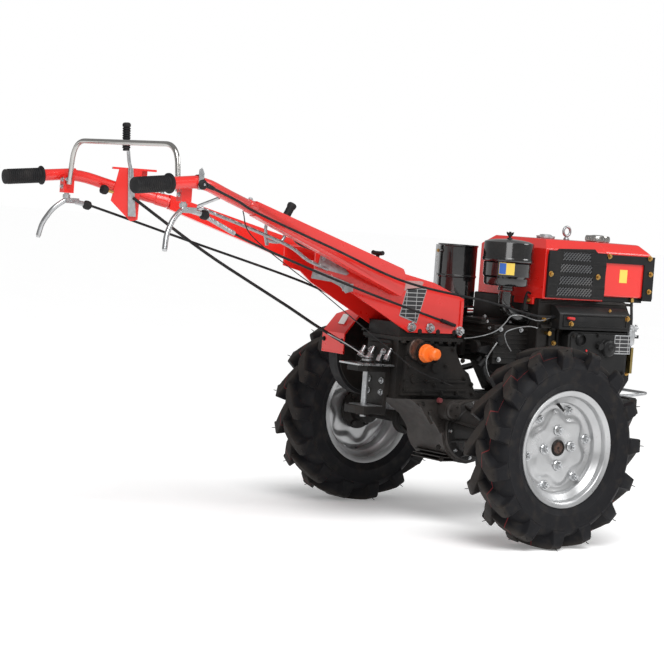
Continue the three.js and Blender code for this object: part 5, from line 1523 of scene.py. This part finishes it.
def steering_levers(sizes):
    """The bent levers under the grips and the ends of their cables."""
    for side, s in SIDES:
        path = [on_side(p, s) for p in
                ((-1188, 298.8, 897.6), (-1188, 298.8, 879.6), (-1222, 308.8, 853.6), (-1246, 320.8, 811.6),
                 (-1252, 326.8, 776))]
        top = path[0]
        bm = bmesh.new()
        tube(bm, rounded(path, 26, 10), 7, 5)
        drum(bm, path[-1], on_side((-1252.4, 327.2, 769.8), s), 7, 5, sides=28)
        finished(bm, f"steering_lever_{side}_rod", "zinc", nodes=[f"steering_lever_{side}"], bevel=0.3)
        bm = bmesh.new()
        drum(bm, top - Z * 4, top - Z * 14, 10.5, sides=6)
        pin = top + Vector((10, 0, -20))
        for y in (-9, 6):
            block(bm, pin.x - 14, pin.x + 26, pin.y + y, pin.y + y + 3, pin.z - 8, pin.z + 7)
        drum(bm, pin - Y * 12, pin + Y * 12, 3, sides=14)
        drum(bm, pin + X * 20 - Z * 3, pin + Vector((44, 0, -7)), 7, sides=6)
        finished(bm, f"steering_clevis_{side}", "zinc", bevel=0.5)
        bm = bmesh.new()
        ball = pin + Vector((56, -s * 1.5, -10))
        lathe(bm, [(0, -13), (7, -12), (12, -7), (13, 0), (12, 7), (7, 12), (0, 13)], ball, (1, 0, -0.2), 24)
        finished(bm, f"steering_boot_{side}", "rubber")


def throttle(sizes):
    """The throttle's lever with its black boss."""
    dressed("throttle_lever", "zinc", 0.7)
    boss_x, boss_z = -1160, 944
    bm = bmesh.new()
    lathe(bm, [(0, -346), (8, -346), (11, -344), (13, -341), (13, -331), (9, -329), (0, -329)],
          (boss_x, 0, boss_z), Y, 28)
    lathe(bm, [(16.2, -6), (18, -6), (18, 6), (16.2, 6), (16.2, -6)], (boss_x, -320, 951),
          (GRIP_END - KINK).reflect(Y), 32)
    finished(bm, "throttle_boss", "rubber", bevel=0.7)
    bm = bmesh.new()
    bolt(bm, (boss_x, -345.6, boss_z), -Y, 4, washer=False)
    finished(bm, "throttle_screw", "zinc", bevel=0.2)


ROUTES = {  # cables and rods along their clips: radius, finish and points
    "steering_cable_left": (3.5, "rubber", [
        (-1178.5, 298.8, 877.6), (-1118, 294, 868), (-830, 230, 789), (-460, 140, 685), (-262, 82.1, 600)]),
    "steering_cable_right": (3.5, "rubber", [
        (-1178.5, -298.8, 877.6), (-1118, -294, 864), (-920, -258, 796), (-500, -146, 692),
        (-80, -82.1, 594)]),
    "throttle_cable": (3.5, "rubber", [
        (-1156.7, -339.5, 946), (-1030, -306, 910), (-915, -244, 880), (-620, -182, 800), (-310, -124, 716),
        (-20, -142, 672), (130, -184, 640), (228.4, -172.3, 636)]),
    "clutch_rod": (5, "galvanised", [
        (-1070, -200, 884), (-760, -140, 806), (-640, -96, 762), (-560, -84.1, 738)]),
}


def cables(sizes):
    """Every control cable and rod, clipped along its whole route."""
    for node, (r, finish, points) in ROUTES.items():
        bm = bmesh.new()
        path = flowing(points, 14)
        if node == "clutch_rod":
            coil(bm, path, r - 1.6, 1.7, 96)
            tube(bm, path, r - 1.8, 3)
        else:
            tube(bm, path, r, 4)
        finished(bm, node + "_cable", finish, nodes=[node])
    bm = bmesh.new()
    tube(bm, rounded([(-1068, -200, 884), (-1086, -206, 888), (-1066, -276, 914)], 10), 4, 3)
    drum(bm, (-1066, -200, 883.2), (-1080, -202, 885.6), 6.5, sides=20)
    finished(bm, "clutch_rod_hanger", "zinc", bevel=0.4)
    dressed("shift_rod", "rubber", 0.0, angle=60)
    bm = bmesh.new()
    path = flowing(ROUTES["steering_cable_right"][2], 14)
    coil(bm, path[3:24], 5.0, 1.3, 90)
    drum(bm, path[3], path[2], 6, 5, sides=20)
    finished(bm, "steering_cable_spring", "galvanised")
    bm = bmesh.new()
    for node, share in (("steering_cable_right", 0.985), ("steering_cable_left", 0.985),
                        ("throttle_cable", 0.99)):
        path = flowing(ROUTES[node][2], 14)
        at = path[int((len(path) - 2) * share)]
        drum(bm, at, path[-1], 6, 5, sides=20)
    boot = flowing(ROUTES["throttle_cable"][2], 14)
    drum(bm, boot[1], boot[4], 7, 5, sides=20)
    finished(bm, "cable_boots", "rubber", bevel=0.4)
    bm = bmesh.new()
    tube(bm, flowing([(-946, -212, 884), (-907, -200, 823), (-736, -150, 739), (-608, -122, 679),
                      (-414, -120, 562), (-330, -122, 513), (-245, -122, 465),
                      (-106, -126, 419)]), 1.5, 2)
    finished(bm, "drop_wire", "rubber")
    bm = bmesh.new()
    tube(bm, flowing([(-459, 30, 551), (-401, 20, 526), (-360, 0, 500), (-330, -8, 480)]), 1.8, 2)
    finished(bm, "thin_wires", "galvanised")


# ------------------------------------------------------------------ stage
WHITE = (1, 1, 1, 1)
CAMERA_PLACE = (-4098.43, -4852.21, 902.07)
CAMERA_YAW, CAMERA_PITCH, CAMERA_ROLL = math.radians(36.82), math.radians(3.25), math.radians(4.25)
FOCAL_LENGTH, SENSOR_WIDTH = 115.31, 36
# name, kind, place from the tractor's middle in metres, width (an angle for the sun) and power
LIGHTS = (
    ("overhead", "SUN", (-1.2, -2.2, 3.6), math.radians(35), 2.0),
    ("key", "AREA", (-2.4, -3.4, 2.6), 2.2, 55),
    ("rim_light", "AREA", (3.0, -2.2, 2.4), 1.6, 50),
)


def stage():
    """The floor, the soft lights and the camera."""
    floor = bmesh.new()
    bmesh.ops.create_grid(floor, x_segments=1, y_segments=1, size=200)
    mesh = bpy.data.meshes.new("floor")
    floor.to_mesh(mesh)
    floor.free()
    mesh.materials.append(FINISH["floor"])
    ground = bpy.data.objects.new("floor", mesh)
    bpy.context.scene.collection.objects.link(ground)
    world = bpy.data.worlds.new("studio")
    world.use_nodes = True
    tree = world.node_tree
    soft = tree.nodes["Background"]
    soft.inputs["Color"].default_value = WHITE
    soft.inputs["Strength"].default_value = 0.33
    backdrop = tree.nodes.new("ShaderNodeBackground")
    backdrop.inputs["Color"].default_value = WHITE
    backdrop.inputs["Strength"].default_value = 1.0
    seen = tree.nodes.new("ShaderNodeLightPath")
    mix = tree.nodes.new("ShaderNodeMixShader")
    tree.links.new(seen.outputs["Is Camera Ray"], mix.inputs[0])
    tree.links.new(soft.outputs[0], mix.inputs[1])
    tree.links.new(backdrop.outputs[0], mix.inputs[2])
    tree.links.new(mix.outputs[0], tree.nodes["World Output"].inputs["Surface"])
    bpy.context.scene.world = world
    middle = Vector((AXLE_X - 0.3, 0, 0.5))
    for name, kind, place, width, power in LIGHTS:
        lamp = bpy.data.lights.new(name, kind)
        lamp.energy = power
        if kind == "SUN":
            lamp.angle = width
        else:
            lamp.size = width
        light = bpy.data.objects.new(name, lamp)
        light.location = middle + Vector(place)
        light.rotation_euler = (middle - light.location).to_track_quat("-Z", "Y").to_euler()
        bpy.context.scene.collection.objects.link(light)
    yaw, pitch, roll = CAMERA_YAW, CAMERA_PITCH, CAMERA_ROLL
    ahead = Vector((math.sin(yaw) * math.cos(pitch), math.cos(yaw) * math.cos(pitch), -math.sin(pitch)))
    level = Vector((math.cos(yaw), -math.sin(yaw), 0))
    upward = level.cross(ahead)
    right = level * math.cos(roll) + upward * math.sin(roll)
    up = upward * math.cos(roll) - level * math.sin(roll)
    lens = bpy.data.cameras.new("camera")
    lens.sensor_width = SENSOR_WIDTH
    lens.lens = FOCAL_LENGTH
    lens.clip_end = 100
    camera = bpy.data.objects.new("camera", lens)
    place = Matrix((right, up, -ahead)).transposed().to_4x4()
    place.translation = TO_ROW @ Vector(CAMERA_PLACE)
    camera.matrix_world = place
    bpy.context.scene.collection.objects.link(camera)
    bpy.context.scene.camera = camera
    bpy.context.scene.view_settings.view_transform = "Standard"


# ------------------------------------------------------------------ operators
class MakeFinishes(bpy.types.Operator):
    """Make every paint, metal, rubber and plastic"""

    bl_idname = "tractor.finishes"
    bl_label = "Mix the finishes"

    def execute(self, context):
        make_finishes(context.scene.tractor_finishes)
        return {"FINISHED"}


class MakeTyres(bpy.types.Operator):
    """Both tyres with their lugs, side-wall rings and moulding hairs"""

    bl_idname = "tractor.tyres"
    bl_label = "Mould the tyres"

    def execute(self, context):
        tyres(context.scene.tractor_wheels)
        return {"FINISHED"}


class MakeRims(bpy.types.Operator):
    """Both rims: the stepped well, the pressed disc, its bolts and the valve"""

    bl_idname = "tractor.rims"
    bl_label = "Press the rims"

    def execute(self, context):
        rims(context.scene.tractor_wheels)
        return {"FINISHED"}


class MakeHubs(bpy.types.Operator):
    """Both hubs with the ends of the axle"""

    bl_idname = "tractor.hubs"
    bl_label = "Turn the hubs"

    def execute(self, context):
        hubs(context.scene.tractor_wheels)
        return {"FINISHED"}


class MakeGearbox(bpy.types.Operator):
    """The upper case with its cover, ribs, bolts, selector studs and plugs"""

    bl_idname = "tractor.gearbox"
    bl_label = "Cast the gearbox"

    def execute(self, context):
        gearbox(context.scene.tractor_engine)
        return {"FINISHED"}


class MakeShaftCap(bpy.types.Operator):
    """The orange cap over the side shaft, with its nose"""

    bl_idname = "tractor.shaft_cap"
    bl_label = "Mould the shaft cap"

    def execute(self, context):
        shaft_cap(context.scene.tractor_engine)
        return {"FINISHED"}


class MakeFinalDrive(bpy.types.Operator):
    """The lower case with its ribs, flange bolts and round cover"""

    bl_idname = "tractor.final_drive"
    bl_label = "Cast the final drive"

    def execute(self, context):
        final_drive(context.scene.tractor_engine)
        return {"FINISHED"}


class MakeAxleHousings(bpy.types.Operator):
    """Both axle tubes with ribs, flange bolts and an oil seal"""

    bl_idname = "tractor.axle_housings"
    bl_label = "Cast the axle housings"

    def execute(self, context):
        axle_housings(context.scene.tractor_engine)
        return {"FINISHED"}


class MakeHitch(bpy.types.Operator):
    """The two-jawed bracket, its bolts and the drawbar pin"""

    bl_idname = "tractor.hitch"
    bl_label = "Cast the hitch"

    def execute(self, context):
        hitch(context.scene.tractor_engine)
        return {"FINISHED"}


class MakeEngineFrame(bpy.types.Operator):
    """The rails, the bumper block and the front loop"""

    bl_idname = "tractor.engine_frame"
    bl_label = "Weld the engine frame"

    def execute(self, context):
        engine_frame(context.scene.tractor_engine)
        return {"FINISHED"}


class MakeFrontStand(bpy.types.Operator):
    """The parking stand: a bent tube hoop with a foot plate and pivot bosses"""

    bl_idname = "tractor.front_stand"
    bl_label = "Bend the front stand"

    def execute(self, context):
        front_stand(context.scene.tractor_engine)
        return {"FINISHED"}


class MakeEngineBlock(bpy.types.Operator):
    """Crankcase and cylinder head with their cast ribs, covers, studs and pipes"""

    bl_idname = "tractor.engine_block"
    bl_label = "Cast the engine"

    def execute(self, context):
        engine_block(context.scene.tractor_engine)
        return {"FINISHED"}


class MakeGearCover(bpy.types.Operator):
    """The gear case cover with its boss, bolts, sight hole and blank plate"""

    bl_idname = "tractor.gear_cover"
    bl_label = "Cast the gear cover"

    def execute(self, context):
        gear_cover(context.scene.tractor_engine)
        return {"FINISHED"}


class MakePumpGuard(bpy.types.Operator):
    """The sheet guard over the fuel pump, with its pressed window and red lever"""

    bl_idname = "tractor.pump_guard"
    bl_label = "Press the pump guard"

    def execute(self, context):
        pump_guard(context.scene.tractor_engine)
        return {"FINISHED"}


class MakeBelts(bpy.types.Operator):
    """Flywheel with rim teeth and spokes, clutch pulley with grooves, and the belts"""

    bl_idname = "tractor.belts"
    bl_label = "Fit the belts"

    def execute(self, context):
        flywheel_and_belts(context.scene.tractor_engine)
        return {"FINISHED"}


class MakeHood(bpy.types.Operator):
    """The radiator hood: rolled edges, pressed shoulder and its small bracket"""

    bl_idname = "tractor.hood"
    bl_label = "Press the hood"

    def execute(self, context):
        hood(context.scene.tractor_engine)
        return {"FINISHED"}


class MakeGrille(bpy.types.Operator):
    """The side panel with its four mesh windows and brass bolts"""

    bl_idname = "tractor.grille"
    bl_label = "Press the grille"

    def execute(self, context):
        grille(context.scene.tractor_engine)
        return {"FINISHED"}


class MakeTank(bpy.types.Operator):
    """The fuel tank, its strap and tray, and the brass bolts"""

    bl_idname = "tractor.tank"
    bl_label = "Press the fuel tank"

    def execute(self, context):
        tank(context.scene.tractor_engine)
        return {"FINISHED"}


class MakeCaps(bpy.types.Operator):
    """Fuel cap, radiator cap and lifting eye"""

    bl_idname = "tractor.caps"
    bl_label = "Turn the caps"

    def execute(self, context):
        caps(context.scene.tractor_engine)
        return {"FINISHED"}


class MakeAirCleaner(bpy.types.Operator):
    """Oil-bath air cleaner: bowl, flared cap, wing nut, clips, pipe and elbow"""

    bl_idname = "tractor.air_cleaner"
    bl_label = "Spin the air cleaner"

    def execute(self, context):
        air_cleaner(context.scene.tractor_engine)
        return {"FINISHED"}


class MakeMuffler(bpy.types.Operator):
    """The silencer drum with its rolled seams, outlet pipe and heat shield"""

    bl_idname = "tractor.muffler"
    bl_label = "Roll the muffler"

    def execute(self, context):
        muffler(context.scene.tractor_engine)
        return {"FINISHED"}


class MakeFuelLine(bpy.types.Operator):
    """Fuel filter, its tap and the hose up to the tank"""

    bl_idname = "tractor.fuel_line"
    bl_label = "Fit the fuel line"

    def execute(self, context):
        fuel_line(context.scene.tractor_engine)
        return {"FINISHED"}


class MakeBeltGuard(bpy.types.Operator):
    """The red guard over the belts, with its rolled lip and a blank label"""

    bl_idname = "tractor.belt_guard"
    bl_label = "Fold the belt guard"

    def execute(self, context):
        belt_guard(context.scene.tractor_engine)
        return {"FINISHED"}


class MakeConsole(bpy.types.Operator):
    """The red console between gearbox and handles, with everything fixed to it"""

    bl_idname = "tractor.console"
    bl_label = "Fold the console"

    def execute(self, context):
        console(context.scene.tractor_handles)
        return {"FINISHED"}


class MakeHandles(bpy.types.Operator):
    """Both handles: flat beam, sleeve, bent tube and lever clamp, with bolts"""

    bl_idname = "tractor.handles"
    bl_label = "Bend the handles"

    def execute(self, context):
        handles(context.scene.tractor_handles)
        return {"FINISHED"}


class MakeGrips(bpy.types.Operator):
    """The ribbed rubber grips"""

    bl_idname = "tractor.grips"
    bl_label = "Mould the grips"

    def execute(self, context):
        grips(context.scene.tractor_handles)
        return {"FINISHED"}


class MakeGuardBar(bpy.types.Operator):
    """The chromed bar between the handles"""

    bl_idname = "tractor.guard_bar"
    bl_label = "Bend the guard bar"

    def execute(self, context):
        guard_bar(context.scene.tractor_handles)
        return {"FINISHED"}


class MakeShiftLever(bpy.types.Operator):
    """The gear lever with its ribbed knob, and the small lever beside it"""

    bl_idname = "tractor.shift_lever"
    bl_label = "Fit the gear lever"

    def execute(self, context):
        shift_lever(context.scene.tractor_handles)
        return {"FINISHED"}


class MakeSteeringLevers(bpy.types.Operator):
    """The bent levers under the grips and the ends of their cables"""

    bl_idname = "tractor.steering_levers"
    bl_label = "Bend the steering levers"

    def execute(self, context):
        steering_levers(context.scene.tractor_handles)
        return {"FINISHED"}


class MakeThrottle(bpy.types.Operator):
    """The throttle's lever with its black boss"""

    bl_idname = "tractor.throttle"
    bl_label = "Fit the throttle"

    def execute(self, context):
        throttle(context.scene.tractor_handles)
        return {"FINISHED"}


class MakeCables(bpy.types.Operator):
    """Every control cable and rod, clipped along its whole route"""

    bl_idname = "tractor.cables"
    bl_label = "Run the cables"

    def execute(self, context):
        cables(context.scene.tractor_handles)
        return {"FINISHED"}


class MakeStage(bpy.types.Operator):
    """Set the floor, the soft lights and the camera"""

    bl_idname = "tractor.stage"
    bl_label = "Set the stage"

    def execute(self, context):
        stage()
        return {"FINISHED"}


STEPS = (
    MakeFinishes, MakeTyres, MakeRims, MakeHubs, MakeGearbox,
    MakeShaftCap, MakeFinalDrive, MakeAxleHousings, MakeHitch, MakeEngineFrame,
    MakeFrontStand, MakeEngineBlock, MakeGearCover, MakePumpGuard, MakeBelts,
    MakeHood, MakeGrille, MakeTank, MakeCaps, MakeAirCleaner,
    MakeMuffler, MakeFuelLine, MakeBeltGuard, MakeConsole, MakeHandles,
    MakeGrips, MakeGuardBar, MakeShiftLever, MakeSteeringLevers, MakeThrottle,
    MakeCables, MakeStage,
)
GROUPS = {
    "tractor_wheels": WheelSizes,
    "tractor_engine": EngineSizes,
    "tractor_handles": HandleSizes,
    "tractor_finishes": Finishes,
}


class TractorPanel(bpy.types.Panel):
    """Sizes, colours and the steps that make the tractor"""

    bl_idname = "VIEW3D_PT_walking_tractor"
    bl_label = "Walking tractor"
    bl_space_type = "VIEW_3D"
    bl_region_type = "UI"
    bl_category = "Walking tractor"

    def draw(self, context):
        for name, group in GROUPS.items():
            box = self.layout.box()
            for size in group.__annotations__:
                box.prop(getattr(context.scene, name), size)
        for step in STEPS:
            self.layout.operator(step.bl_idname)


def register():
    for group in GROUPS.values():
        bpy.utils.register_class(group)
    for name, group in GROUPS.items():
        setattr(bpy.types.Scene, name, PointerProperty(type=group))
    for step in STEPS:
        bpy.utils.register_class(step)
    bpy.utils.register_class(TractorPanel)


def unregister():
    bpy.utils.unregister_class(TractorPanel)
    for step in reversed(STEPS):
        bpy.utils.unregister_class(step)
    for name in GROUPS:
        delattr(bpy.types.Scene, name)
    for group in reversed(list(GROUPS.values())):
        bpy.utils.unregister_class(group)


def main():
    register()
    for step in STEPS:
        getattr(bpy.ops.tractor, step.bl_idname.split(".")[1])()


if __name__ == "__main__":
    main()
